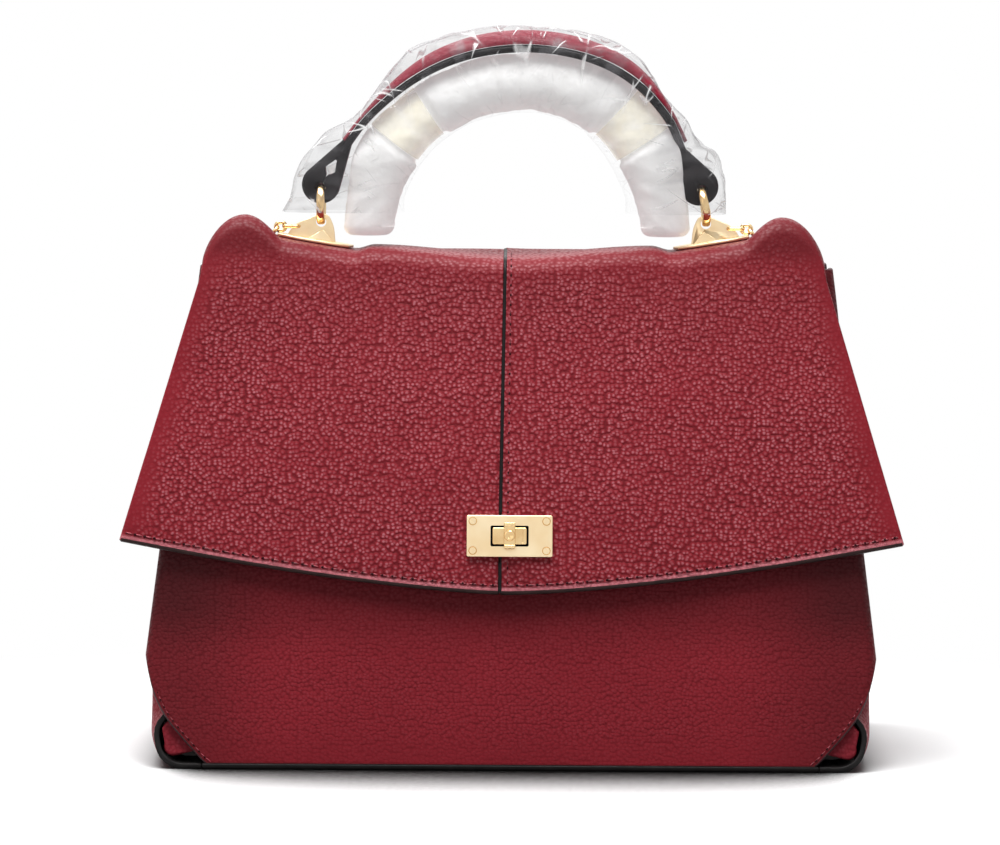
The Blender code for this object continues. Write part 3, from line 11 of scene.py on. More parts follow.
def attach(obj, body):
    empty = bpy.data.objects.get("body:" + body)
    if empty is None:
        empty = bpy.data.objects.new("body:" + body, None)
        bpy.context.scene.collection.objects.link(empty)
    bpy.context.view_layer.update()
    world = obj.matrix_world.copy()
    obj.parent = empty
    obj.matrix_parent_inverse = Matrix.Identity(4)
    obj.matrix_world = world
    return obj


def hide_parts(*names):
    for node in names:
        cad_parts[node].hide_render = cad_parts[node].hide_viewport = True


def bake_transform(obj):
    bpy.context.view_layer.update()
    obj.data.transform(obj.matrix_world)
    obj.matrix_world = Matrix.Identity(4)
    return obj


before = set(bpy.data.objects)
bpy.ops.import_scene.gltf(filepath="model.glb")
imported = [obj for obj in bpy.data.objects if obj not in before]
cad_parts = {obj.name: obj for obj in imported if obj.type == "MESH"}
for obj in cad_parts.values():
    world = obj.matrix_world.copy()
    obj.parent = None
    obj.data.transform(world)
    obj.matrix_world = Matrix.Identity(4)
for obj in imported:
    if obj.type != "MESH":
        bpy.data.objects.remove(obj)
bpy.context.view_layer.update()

# Sizes of the solids that the leather follows, in metres
GAP = 0.0003
BODY_HEIGHT = 0.196
BASE_DEPTH = 0.120
MOUTH_DEPTH = 0.048
BASE_HALF_WIDTH = 0.1445
MOUTH_HALF_WIDTH = 0.1262
PANEL_THICKNESS = 0.0020
BELLY = 0.0025
LEAN_POWER = 1.15
CUT_START = BASE_HALF_WIDTH - 0.0246
CUT_TOP = 0.044
CUT_SLOPE = 0.643
WRAP_RADIUS = 0.005
WRAP_RUN = 0.004
GUSSET_THICKNESS = 0.0022
CORNER_RADIUS = 0.0135
BASE_HALF_LENGTH = BASE_HALF_WIDTH - PANEL_THICKNESS - GAP - CORNER_RADIUS - 0.0067
PINCH_HEIGHT = 0.010
PINCH_END = 0.050
FOLD_DEPTH = 0.018
FOLD_START = 0.060
PANEL_FOOT = GUSSET_THICKNESS + GAP
WRAP_GAP = PANEL_THICKNESS + GAP
BOARD_THICKNESS = 0.0018
TAB_TIP_RADIUS = 0.0035
FLAP_STACK = 0.0029
FLAP_STANDOFF = 0.0028 + FLAP_STACK
FLAP_TOP = 0.2012
FLAP_HALF = MOUTH_HALF_WIDTH - 0.0026
FLAP_CORNER = (FLAP_HALF + 0.0304, 0.0898)
FLAP_MIDDLE_HEIGHT = 0.0703
FLAP_EDGE_POWER = 1.5
FLAP_FOLD_RADIUS = 0.008
FLAP_HALF_TOP = 0.0085
HINGE_Y = 0.0255
HINGE_BACK = HINGE_Y - 0.0026
SEAT_INNER = 0.0670
SEAT_OUTER = SEAT_INNER + 0.0290
SEAT_RISE = 0.0012
SEAT_TILT = math.radians(9.5)
SHOULDER_MIDDLE = 0.107
LOCK_ASIDE = -0.0008
LOCK_HEIGHT = 0.0913
LOCK_HALF_HEIGHT = 0.0041
RING_MIDDLE = (0.077548, 0.220182)
ANCHOR_LENGTH = 0.032
ANCHOR_HALF_WIDTH = 0.116
ANCHOR_THICKNESS = 0.0016
ANCHOR_TOP = 0.1980
FILM_FOOT = 0.2225

# The seam between the flap's two halves: its place as a share of the half width, and half its edge's width
SEAM = -0.017
SEAM_HALF = 0.00075 / FLAP_HALF
SEAM_BREAK = (0.0820, 0.1005)

# Each point's place at rest, which the materials read
REST_PLACE = "rest_place"


def linear(colour):
    """A hex colour, as it is seen, turned into linear RGBA."""
    channels = [int(colour[start : start + 2], 16) / 255 for start in (1, 3, 5)]
    return (*(c / 12.92 if c <= 0.04045 else ((c + 0.055) / 1.055) ** 2.4 for c in channels), 1)


def scaled(colour, share, plus=0.0):
    return (*(channel * share + plus for channel in colour[:3]), 1)


def smooth(share):
    share = min(max(share, 0.0), 1.0)
    return share * share * (3 - 2 * share)


def smooth_array(shares):
    shares = np.clip(shares, 0, 1)
    return shares**2 * (3 - 2 * shares)


def mix(low, high, share):
    return low + (high - low) * share


def signed_power(value, power):
    return math.copysign(abs(value) ** power, value)


def turns(count, start=0.0, full=2 * math.pi):
    """Equal turns from a start, the last of them one step short of the full turn."""
    return (np.arange(count) + start) * (full / count)


def waves(point, size, seed=0.0):
    """Soft noise from -1 to 1 with waves of about that size."""
    return noise.noise(Vector(point) / size + Vector((seed, 1.7 * seed, -seed)))


def lengths(vectors):
    """Their lengths, never zero, in a shape that divides them."""
    return np.maximum(np.linalg.norm(vectors, axis=-1, keepdims=True), 1e-9)


# Node trees


class Output:
    """What a node gives. Numbers can be added, multiplied and so on, and each such step adds a node."""

    def __init__(self, made, socket):
        self.made = made
        self.socket = socket

    def __add__(self, other):
        return self.made.maths("ADD", self, other)

    def __sub__(self, other):
        return self.made.maths("SUBTRACT", self, other)

    def __rsub__(self, other):
        return self.made.maths("SUBTRACT", other, self)

    def __mul__(self, other):
        return self.made.maths("MULTIPLY", self, other)

    def __truediv__(self, other):
        return self.made.maths("DIVIDE", self, other)

    def __pow__(self, other):
        return self.made.maths("POWER", self, other)

    def __abs__(self):
        return self.made.maths("ABSOLUTE", self)


class Tree:
    """A node tree with short ways to add to it."""

    def __init__(self, tree):
        self.tree = tree

    def give(self, socket, value):
        """Links an input to what a node gives, or sets it to a plain value."""
        if isinstance(value, Output):
            self.tree.links.new(value.socket, socket)
        else:
            socket.default_value = value

    def node(self, kind, inputs=None, **settings):
        made = self.tree.nodes.new(kind)
        for name, value in settings.items():
            setattr(made, name, value)
        for name, value in (inputs or {}).items():
            self.give(made.inputs[name], value)
        return made

    def out(self, kind, inputs=None, output=0, **settings):
        return Output(self, self.node(kind, inputs, **settings).outputs[output])

    def maths(self, operation, first, second=0.0, clamp=False):
        return self.out("ShaderNodeMath", {0: first, 1: second}, operation=operation, use_clamp=clamp)

    def vector_maths(self, operation, *inputs, output=0):
        return self.out("ShaderNodeVectorMath", dict(enumerate(inputs)), output, operation=operation)

    def vector(self, x=0.0, y=0.0, z=0.0):
        return self.out("ShaderNodeCombineXYZ", {0: x, 1: y, 2: z})

    def axes(self, vector):
        parts = self.node("ShaderNodeSeparateXYZ", {0: vector})
        return [Output(self, part) for part in parts.outputs]

    def seen(self):
        """1 for rays that show a thing: from the camera, in a reflection, or through something clear."""
        path = self.node("ShaderNodeLightPath").outputs
        total = Output(self, path["Is Camera Ray"])
        for ray in ("Is Glossy Ray", "Is Transmission Ray"):
            total = self.maths("ADD", total, Output(self, path[ray]), clamp=True)
        return total


# Materials


class Material(Tree):
    """A material, its shader, and where each point lies at rest."""

    def __init__(self, name, rough, **sockets):
        self.material = bpy.data.materials.new(name)
        self.material.use_nodes = True
        super().__init__(self.material.node_tree)
        self.shader = self.tree.nodes["Principled BSDF"]
        self.put(Roughness=rough, **sockets)
        self.place = self.out("ShaderNodeAttribute", output="Vector", attribute_name=REST_PLACE)

    def put(self, **sockets):
        """Sets or links the shader's inputs, with _ for each space in their names."""
        for name, value in sockets.items():
            self.give(self.shader.inputs[name.replace("_", " ")], value)

    def noise(self, size_mm, detail=2.0, roughness=0.5, place=None, output="Fac"):
        scale = 1000 / size_mm
        inputs = {"Vector": place or self.place, "Scale": scale, "Detail": detail, "Roughness": roughness}
        return self.out("ShaderNodeTexNoise", inputs, output)

    def twill(self, size_mm, distortion, direction="DIAGONAL"):
        """Even waves, such as threads make."""
        inputs = {"Vector": self.place, "Scale": 1000 / size_mm / 6.28, "Distortion": distortion}
        return self.out("ShaderNodeTexWave", inputs, "Fac", bands_direction=direction)

    def mapped(self, place, **inputs):
        return self.out("ShaderNodeMapping", {"Vector": place, **inputs})

    def spread(self, value, low, high, to_low=0.0, to_high=1.0):
        """Turns a stretch of numbers softly into another."""
        inputs = {"Value": value, "From Min": low, "From Max": high, "To Min": to_low, "To Max": to_high}
        return self.out("ShaderNodeMapRange", inputs, interpolation_type="SMOOTHSTEP")

    def blend(self, share, first, second):
        """A colour between two."""
        return self.out("ShaderNodeMix", {0: share, 6: first, 7: second}, 2, data_type="RGBA")

    def bump(self, height, depth_mm, strength=1.0, under=None):
        inputs = {"Height": height, "Distance": depth_mm / 1000, "Strength": strength}
        if under:
            inputs["Normal"] = under
        return self.out("ShaderNodeBump", inputs)


PEBBLE_DRIFT = 0.0016
SIDE_CALM = 0.6


def pebbled_leather(name, light, dark, pale, rough, depth_mm, cell_mm, calm=None, shade=None, glow=None):
    """Pebbled calf leather: round domes, each with a painted pale soft highlight, and creases between them
    painted dark as shade.

    Calm, shade and glow make a share from the place: of the grain's strength, of painted shade and of painted
    highlight.
    Leather with no calm of its own lies at the sides, where its cells go through the solid and show less.
    """
    made = Material(name, rough, Specular_IOR_Level=0.16)
    drift = made.vector_maths("SUBTRACT", made.noise(6, output="Color"), (0.5,) * 3)
    moved = made.vector_maths("MULTIPLY_ADD", drift, (PEBBLE_DRIFT,) * 3, made.place)
    if calm:
        x, y, z = made.axes(moved)
        grain = {"Vector": made.vector(x, y * 0.6 + z), "Randomness": 0.8, "Scale": 1000 / cell_mm}
        cells = made.node("ShaderNodeTexVoronoi", grain, voronoi_dimensions="2D").outputs
    else:
        grain = {"Vector": moved, "Randomness": 0.75, "Scale": 1000 / cell_mm}
        cells = made.node("ShaderNodeTexVoronoi", grain).outputs
    reach = made.maths("MULTIPLY", Output(made, cells["Distance"]), 1.4, clamp=True)
    dome = 1.0 - reach * reach
    strength = made.spread(made.noise(26, 3.0, 0.6), 0.32, 0.68, 0.75, 1.0)
    strength = strength * (calm(made) if calm else SIDE_CALM)
    pores = made.noise(0.45, 3.0, 0.6)
    folds = made.bump(made.noise(15, 3.0, 0.55), 0.8, 0.35)
    # Painted shade: the creases between the domes are coloured darker.
    crease = made.spread(dome, 0.1, 0.72, 1.0, 0.0) * strength
    patches = made.spread(made.noise(38, 3.0, 0.6), 0.3, 0.7, 0.0, 0.1)
    tone = made.blend(made.maths("MAXIMUM", crease * 0.55, patches), linear(light), linear(dark))
    # Painted highlight: a pale spot on each dome's top, stronger on some pebbles than on others.
    each_pebble = made.axes(Output(made, cells["Color"]))[0]
    painted_highlight = strength * made.spread(each_pebble, 0.0, 1.0, 0.2, 0.62)
    tone = made.blend(made.spread(dome, 0.7, 1.0) * painted_highlight, tone, linear(pale))
    if glow:
        tone = made.blend(glow(made), tone, linear(pale))
    # Painted shade: the colour goes towards a darker copy of the dark colour where the shade share asks.
    if shade:
        tone = made.blend(shade(made), tone, scaled(linear(dark), 0.35))
    made.put(
        Normal=made.bump(pores * 0.12 + dome * strength, depth_mm, 1.0, folds),
        Base_Color=tone,
        Roughness=made.spread(dome, 0.2, 1.0, rough + 0.2, rough - 0.04),
    )
    return made.material


def flap_top_painted_shade(made):
    """Painted shade: the flap is coloured darker towards its top, and more so over its top fold."""
    height = made.axes(made.place)[2]
    return made.spread(height, 0.145, 0.2, 0.0, 0.2) + made.spread(height, 0.196, 0.206, 0.0, 0.3)


def front_painted_shade(made):
    """Painted shade on the front panel: darker towards its side edges, and a painted shadow under the flap."""
    x, y, z = made.axes(made.place)
    painted_shade_share = made.spread(abs(x), 0.085, 0.135, 0.0, 0.46) + made.spread(z, 0.040, 0.066, 0.0, 0.36)
    front = made.spread(y, -0.025, 0.0, 1.0, 0.0)
    return painted_shade_share * front


def hem_glow(made):
    """The strip between the flap's stitches and its lower edge stands up and catches the light."""
    x, y, z = made.axes(made.place)
    hem = (abs(x) / FLAP_CORNER[0]) ** FLAP_EDGE_POWER * (FLAP_CORNER[1] - FLAP_MIDDLE_HEIGHT)
    return made.spread(z - FLAP_MIDDLE_HEIGHT - hem, 0.0014, 0.0026, 0.5, 0.0)


def flap_calm(made):
    """The flap's grain is stretched smooth beside its side edges and over its top fold."""
    x, y, z = made.axes(made.place)
    slope = (FLAP_CORNER[0] - FLAP_HALF) / (FLAP_TOP - FLAP_CORNER[1])
    room = (FLAP_TOP - z) * slope + FLAP_HALF - abs(x)
    return made.spread(room, 0.001, 0.014, 0.12, 1.0) * made.spread(z, 0.186, 0.205, 1.0, 0.3)


def body_calm(made):
    """The body's grain is finer, and smoother still along the foot."""
    return made.spread(made.axes(made.place)[2], 0.002, 0.02, 0.25, 0.6)


def painted_edge(name, colour, rough):
    """Edge paint on cut leather: a thick, slightly wavy coat with a soft shine."""
    made = Material(name, rough, Specular_IOR_Level=0.14)
    coat = made.noise(2.2)
    worn = made.spread(made.noise(6.0, 3.0), 0.35, 0.75)
    made.put(
        Normal=made.bump(coat, 0.12, 0.5),
        Base_Color=made.blend(worn, linear(colour), scaled(linear(colour), 1.6, 0.001)),
        Roughness=made.spread(coat, 0.3, 0.7, rough - 0.07, rough + 0.1),
    )
    return made.material


def lining_cloth(name, colour):
    """Twill lining: fine crossed threads with a faint sheen."""
    made = Material(name, 0.82, Sheen_Weight=0.25)
    cloth = made.twill(0.9, 0.4) * made.twill(0.7, 0.6, "Z")
    made.put(
        Normal=made.bump(cloth, 0.12, 0.6, made.bump(made.noise(22, 3.0), 1.2, 0.4)),
        Base_Color=made.blend(cloth, scaled(linear(colour), 0.55), linear(colour)),
    )
    return made.material


def sewing_thread(name, light, dark):
    """Waxed sewing thread: two plies that twist round each other."""
    made = Material(name, 0.5)
    plies = made.twill(0.7, 1.0)
    made.put(Normal=made.bump(plies, 0.08, 0.7), Base_Color=made.blend(plies, linear(dark), linear(light)))
    return made.material


def plated_gold(name, light, warm, rough, brushed=0.0):
    """Pale gold plating: nearly a mirror, with a breath of haze and, on flat plates, a fine brushed grain."""
    made = Material(name, rough, Metallic=1.0)
    haze = made.spread(made.noise(14.0, 3.0), 0.35, 0.7)
    lines = made.noise(0.12, place=made.mapped(made.place, Scale=(0.04, 1.0, 1.0)))
    made.put(
        Normal=made.bump(lines, 0.02, 0.08 + brushed, made.bump(made.noise(4.0, 1.0), 0.03, 0.15)),
        Base_Color=made.blend(haze, linear(light), linear(warm)),
        Roughness=made.spread(made.noise(1.6, 4.0, 0.65), 0.3, 0.75, rough - 0.02, rough + 0.05),
    )
    return made.material


def white_foam(name):
    """Soft packing foam: white and letting light through, with a painted glow that lifts its shaded side, a felt
    of fine fibres and shallow hollows painted a little darker as shade.
    """
    # Painted glow: the emission brightens the whole foam, most seen on its shaded lower side.
    made = Material(name, 0.85, Specular_IOR_Level=0.25, Emission_Color=(1, 1, 1, 1), Emission_Strength=0.41)
    made.put(Subsurface_Weight=1.0, Subsurface_Scale=0.012, Subsurface_Radius=(1.0, 1.0, 1.0))
    fibres = made.noise(0.8, 4.0, 0.7)
    dents = made.noise(9.0, 3.0, 0.55)
    # Painted shade: the tone is darker where the dents sink in.
    tone = made.blend(made.spread(dents, 0.25, 0.6), linear("#b5b3b2"), linear("#c3c2c1"))
    made.put(
        Normal=made.bump(fibres * 0.12 + dents, 1.3, 0.5),
        Base_Color=made.blend(made.spread(fibres, 0.62, 0.75, 0.0, 0.35), tone, linear("#aaa8a8")),
    )
    return made.material


def clear_tape(name):
    """Packing tape, wound several times: cream, half see-through and glossy, with crushed wrinkles, a painted
    glow, and painted shade in the wrinkles' folds.
    """
    # Painted glow: the emission lightens the tape though it is no lamp.
    made = Material(name, 0.32, Specular_IOR_Level=0.4, Emission_Color=(1, 0.97, 0.9, 1), Emission_Strength=0.28)
    wrinkles = made.noise(5.0, 4.0, 0.65)
    # Painted shade: the tone is darker in the folds of the wrinkles.
    made.put(
        Normal=made.bump(wrinkles, 0.5, 0.6),
        Base_Color=made.blend(made.spread(wrinkles, 0.3, 0.7), linear("#e2dcc8"), linear("#ebe7d9")),
        Alpha=made.spread(made.noise(9.0), 0.3, 0.7, 0.3, 0.55),
    )
    return made.material


HANDLE_REACH = 0.075


def crinkled_film(name):
    """Thin clear film: nearly unseen where it lies flat, hazy at a slant, with bright crease lines across it
    painted as white glints.
    """
    made = Material(name, 0.2)
    x, y, z = made.axes(made.place)
    rise = z - FILM_FOOT
    along = made.maths("ARCTAN2", rise, x) * HANDLE_REACH
    reach = (rise * rise + x * x) ** 0.5
    rolled = made.vector(along, reach, y)
    # Painted highlights: the crease lines are drawn white and more opaque, as glints.
    creases = None
    for size_mm, lean, width, seed in ((11.0, 0.45, 0.018, 0.0), (8.0, -0.8, 0.02, 0.31)):
        turned = made.mapped(rolled, Rotation=(0, 0, lean), Location=(seed, seed, 0))
        drawn = made.mapped(turned, Scale=(1.0, 0.22, 0.4))
        line = made.spread(abs(made.noise(size_mm, 1.0, 0.4, drawn) - 0.5), 0.0, width, 1.0, 0.0)
        line = line * made.spread(made.noise(12.0, 1.0, place=turned), 0.49, 0.60)
        creases = made.maths("MAXIMUM", creases, line) if creases else line
    # Diagonal streaks of haze: partly the film's own milkiness, partly painted soft highlights.
    drawn = made.mapped(rolled, Rotation=(0, 0, 1.1), Scale=(1.0, 0.3, 1.0))
    haze = made.spread(made.noise(11.0, place=drawn), 0.54, 0.72, 0.0, 0.13)
    slant = made.out("ShaderNodeLayerWeight", {"Blend": 0.25}, "Facing")
    veil = made.spread(slant, 0.2, 0.9, 0.06, 0.28) + haze
    outside = made.spread(reach, 0.052, 0.066, 0.12, 1.0)
    made.put(
        Normal=made.bump(made.noise(6.0, place=rolled), 1.0, 0.8),
        Alpha=(creases * 0.4 + veil) * outside,
        Base_Color=made.blend(creases, linear("#8c8a8e"), (1.0, 1.0, 1.0, 1)),
    )
    return made.material


def pressed_board(name):
    """Pressed fibre board: a speckled grey-brown."""
    made = Material(name, 0.9)
    specks = made.noise(1.4, 5.0, 0.8)
    colour = made.blend(specks, linear("#6e6256"), linear("#a99b88"))
    made.put(Base_Color=colour, Normal=made.bump(specks, 0.2, 0.5))
    return made.material


# Each leather's third colour is the pale of its painted highlights.
FLAP_LEATHER = pebbled_leather(
    "pebbled_burgundy_flap_leather", "#891e29", "#4c0b12", "#cf838c", 0.42, 0.24, 1.85,
    flap_calm, flap_top_painted_shade, hem_glow,
)
LEATHER = pebbled_leather(
    "pebbled_burgundy_body_leather", "#861d28", "#4d0c13", "#96404a", 0.48, 0.26, 1.5, body_calm, front_painted_shade
)
SIDE_LEATHER = pebbled_leather(
    "pebbled_burgundy_side_leather", "#8c2430", "#56101a", "#a04c58", 0.42, 0.26, 1.5
)
HANDLE_LEATHER = pebbled_leather(
    "smooth_burgundy_handle_leather", "#80172c", "#540d1d", "#8e3044", 0.42, 0.1, 1.4
)
FLAP_INSIDE = pebbled_leather("flap_underside_leather", "#7d1c27", "#571019", "#8a2c38", 0.6, 0.1, 1.2)
EDGE = painted_edge("black_edge_paint", "#100e0e", 0.42)
FLAP_EDGE = painted_edge("worn_black_edge_paint", "#2a1c1b", 0.5)
CUT_EDGE = painted_edge("brown_black_edge_paint", "#4a3436", 0.5)
HOLES = painted_edge("needle_hole_shadow", "#2a060b", 0.8)
CLOTH = lining_cloth("dark_twill_lining", "#3a3433")
THREAD = sewing_thread("burgundy_waxed_thread", "#9c3845", "#5c1019")
FINE_THREAD = sewing_thread("fine_burgundy_thread", "#94303f", "#6c1722")
GOLD = plated_gold("polished_pale_gold", "#efd2a0", "#dfba84", 0.15)
GOLD_PLATE = plated_gold("satin_pale_gold_plate", "#f4dfb9", "#ecd1a5", 0.3, 0.1)
FOAM = white_foam("white_packing_foam")
TAPE = clear_tape("cream_packing_tape")
FILM = crinkled_film("clear_crinkled_film")
BOARD = pressed_board("pressed_fibre_board")


# Making pieces


def normals_of(grid, closed=False):
    along = np.gradient(grid, axis=0)
    across = np.roll(grid, -1, 1) - np.roll(grid, 1, 1) if closed else np.gradient(grid, axis=1)
    normals = np.cross(across, along)
    return normals / lengths(normals)


def numbered(grid):
    """The number of each point of a grid."""
    rows, columns = grid.shape[:2]
    return np.arange(rows * columns).reshape(rows, columns)


def quads(index, closed=False):
    after = np.roll(index, -1, 1) if closed else index[:, 1:]
    here = index if closed else index[:, :-1]
    return np.stack([here[:-1], after[:-1], after[1:], here[1:]], axis=-1).reshape(-1, 4)


def new_object(name, mesh):
    obj = bpy.data.objects.new(name, mesh)
    bpy.context.scene.collection.objects.link(obj)
    return obj


def build(name, points, faces, slots, materials, sharp=50):
    """A mesh object with outward faces. Slots gives each face its material's number."""
    mesh = bpy.data.meshes.new(name)
    mesh.from_pydata(np.asarray(points, float).tolist(), [], [list(map(int, face)) for face in faces])
    for material in materials:
        mesh.materials.append(material)
    mesh.polygons.foreach_set("material_index", np.asarray(slots, np.int32))
    work = bmesh.new()
    work.from_mesh(mesh)
    bmesh.ops.recalc_face_normals(work, faces=work.faces)
    work.to_mesh(mesh)
    work.free()
    mesh.shade_smooth()
    mesh.set_sharp_from_angle(angle=math.radians(sharp))
    return new_object(name, mesh)


def keep_place(obj):
    """Gives the mesh its own coordinates as an attribute, so that the grain stays put where the leather bends."""
    places = np.empty(len(obj.data.vertices) * 3, np.float32)
    obj.data.vertices.foreach_get("co", places)
    obj.data.attributes.new(REST_PLACE, "FLOAT_VECTOR", "POINT").data.foreach_set("vector", places)


def fit(obj, body, slot, *nodes):
    keep_place(obj)
    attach(obj, body)
    if nodes:
        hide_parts(*nodes)
    return obj


def rim_loops(outer, inner, border, steps, swell):
    """Rounded rim between two grids along their border, given as index pairs."""
    rows, columns = np.array(border).T
    high, low = outer[rows, columns], inner[rows, columns]
    middle, half = (high + low) / 2, (high - low) / 2
    out = np.cross(np.roll(middle, -1, 0) - np.roll(middle, 1, 0), half)
    out /= lengths(out)
    if np.einsum("ij,ij->i", out, middle - middle.mean(axis=0)).sum() < 0:
        out = -out
    bulge = out * np.linalg.norm(half, axis=1, keepdims=True) * swell
    return [middle + half * math.cos(turn) + bulge * math.sin(turn) for turn in turns(steps, full=math.pi)[1:]]


def leather_sheet(name, outer, inner, materials, swell=0.7, painted_rows=0, plain_column=None):
    """A sheet between two grids, with a painted rounded rim. Materials: outer face, inner face, rim."""
    rows, columns = outer.shape[:2]
    count = rows * columns
    index = numbered(outer)
    border = [(0, c) for c in range(columns)] + [(r, columns - 1) for r in range(1, rows)]
    border += [(rows - 1, c) for c in range(columns - 2, -1, -1)] + [(r, 0) for r in range(rows - 2, 0, -1)]
    loops = rim_loops(outer, inner, border, 6, swell)
    ring = np.array([index[place] for place in border])
    between = [2 * count + len(border) * n + np.arange(len(border)) for n in range(len(loops))]
    rim = quads(np.array([ring, *between, ring + count]), True)
    painted = painted_rows * (columns - 1)
    whole = (rows - 1) * (columns - 1)
    slots = [0] * (whole - painted) + [2] * painted + [1] * whole
    slots += [0 if border[n % len(border)][1] == plain_column else 2 for n in range(len(rim))]
    faces = np.concatenate([quads(index), quads(index + count), rim])
    points = np.concatenate([outer.reshape(-1, 3), inner.reshape(-1, 3), *loops])
    return build(name, points, faces, slots, materials)


def tube(name, loops, materials, second_columns=(), sharp=50, ring=False):
    """A surface through closed loops of points. Its two ends are closed, or joined so that it makes a ring."""
    loops = np.array(loops)
    index = numbered(loops)
    faces = list(quads(np.concatenate([index, index[:1]]) if ring else index, True))
    slots = [int(n % loops.shape[1] in second_columns) for n in range(len(faces))]
    if not ring:
        faces += [index[0], index[-1]]
        slots += [slots[0], slots[-1]]
    return build(name, loops.reshape(-1, 3), faces, slots, materials, sharp)


def double_wall(name, over, under, material, sharp=80, floor=False):
    """Two walls of closed loops, one in the other, joined by a rim at each end, or with a floor at the first."""
    count = over.shape[0] * over.shape[1]
    index = numbered(over)
    rims = [quads(np.array([index[row], index[row] + count]), True) for row in ((-1,) if floor else (0, -1))]
    faces = list(np.concatenate([quads(index, True), quads(index + count, True), *rims]))
    if floor:
        faces += [index[0], index[0] + count]
    points = np.concatenate([over.reshape(-1, 3), under.reshape(-1, 3)])
    return build(name, points, faces, [0] * len(faces), [material], sharp)


def inset(outline, distance):
    """A closed outline of pairs moved inwards, for bevels."""
    points = np.array(outline, float)
    area = np.cross(points, np.roll(points, -1, 0)).sum()
    before = points - np.roll(points, 1, 0)
    after = np.roll(points, -1, 0) - points
    before /= lengths(before)
    after /= lengths(after)
    bisector = before + after
    bisector /= lengths(bisector)
    inwards = np.stack([-bisector[:, 1], bisector[:, 0]], axis=1) * (1 if area > 0 else -1)
    stretch = 1 / np.maximum(np.einsum("ij,ij->i", before, bisector), 0.5)
    return points + inwards * distance * stretch[:, None]


def slab(name, outline, low, high, round_by, material, place=None, steps=3):
    """A flat plate with rounded edges, its outline in XY, moved by a matrix."""
    levels = []
    for step in range(steps + 1):
        turn = math.pi / 2 * step / steps
        levels.append((low + round_by * (1 - math.sin(turn)), round_by * (1 - math.cos(turn))))
    levels = levels[::-1] + [(high - (level - low), shrink) for level, shrink in levels]
    loops = [[(x, y, level) for x, y in inset(outline, shrink)] for level, shrink in levels]
    obj = tube(name, loops, [material], sharp=40)
    if place is not None:
        obj.data.transform(place)
    return obj


def evaluated_mesh(obj):
    return bpy.data.meshes.new_from_object(obj.evaluated_get(bpy.context.evaluated_depsgraph_get()))


def cut(obj, other, operation="DIFFERENCE"):
    """Cuts one piece with another, or joins it on, and deletes the other."""
    modifier = obj.modifiers.new("cut", "BOOLEAN")
    modifier.operation = operation
    modifier.object = other
    modifier.material_mode = "TRANSFER"
    result = evaluated_mesh(obj)
    obj.modifiers.clear()
    obj.data = result
    bpy.data.objects.remove(other)
    result.shade_smooth()
    result.set_sharp_from_angle(angle=math.radians(35))


def carve(obj, outline, low, high, material, place, operation="DIFFERENCE", round_by=0.0001):
    """Cuts a slab out of a piece, or joins it on."""
    cut(obj, slab("tool", outline, low, high, round_by, material, place), operation)


QUARTERS = ((1, 1), (-1, 1), (-1, -1), (1, -1))


def rounded_box(half_x, half_y, radius, steps=6):
    outline = []
    for quarter, (sign_x, sign_y) in enumerate(QUARTERS):
        for step in range(steps + 1):
            turn = math.pi / 2 * (quarter + step / steps)
            x = sign_x * (half_x - radius) + radius * math.cos(turn)
            outline.append((x, sign_y * (half_y - radius) + radius * math.sin(turn)))
    return outline


def circle(radius, sides, centre=(0, 0)):
    return [(centre[0] + radius * math.cos(turn), centre[1] + radius * math.sin(turn)) for turn in turns(sides)]


# Geometry Nodes for what repeats


class Repeat(Tree):
    """A Geometry Nodes tree that puts copies of a thing on points. Its sizes are inputs of the tree."""

    def __init__(self, name, **kinds):
        super().__init__(bpy.data.node_groups.new(name, "GeometryNodeTree"))
        new_socket = self.tree.interface.new_socket
        new_socket("Geometry", in_out="INPUT", socket_type="NodeSocketGeometry")
        for size, kind in kinds.items():
            new_socket(size, in_out="INPUT", socket_type="NodeSocket" + kind)
        new_socket("Geometry", in_out="OUTPUT", socket_type="NodeSocketGeometry")
        given = self.tree.nodes.new("NodeGroupInput").outputs
        self.geometry, *self.sizes = [Output(self, given[name]) for name in ("Geometry", *kinds)]

    def make(self, kind, **inputs):
        """What a Geometry node gives first. Capital names are its inputs, the others are its settings."""
        settings = {name: value for name, value in inputs.items() if name.islower()}
        inputs = {name.replace("_", " "): value for name, value in inputs.items() if not name.islower()}
        return self.out("GeometryNode" + kind, inputs, **settings)

    def finish(self, points, thing, turn, material, smooth_ends=True):
        """Puts the thing on the points, turned, and gives it its material."""
        copies = self.make("InstanceOnPoints", Points=points, Instance=thing, Rotation=turn)
        real = self.make("RealizeInstances", Geometry=copies)
        if smooth_ends:
            real = self.make("SetShadeSmooth", Geometry=real)
        painted = self.make("SetMaterial", Geometry=real, Material=material)
        self.node("NodeGroupOutput", {0: painted})
        return self.tree


def stitch_tree(name, material):
    """Capsules laid end to end along every edge path of the input."""
    made = Repeat(name, Pitch="Float", Length="Float", Radius="Float")
    pitch, length, radius = made.sizes
    curve = made.make("MeshToCurve", Mesh=made.geometry)
    points = made.make("ResampleCurve", Curve=curve, Length=pitch, mode="LENGTH")
    ball = made.make("MeshUVSphere", Segments=8, Rings=8, Radius=1.0)
    capsule = made.make("Transform", Geometry=ball, Scale=made.vector(radius, radius, length * 0.5))
    tangent = made.make("InputTangent")
    turn = made.out("FunctionNodeAlignRotationToVector", {"Vector": tangent}, axis="Z")
    return made.finish(points, capsule, turn, material)


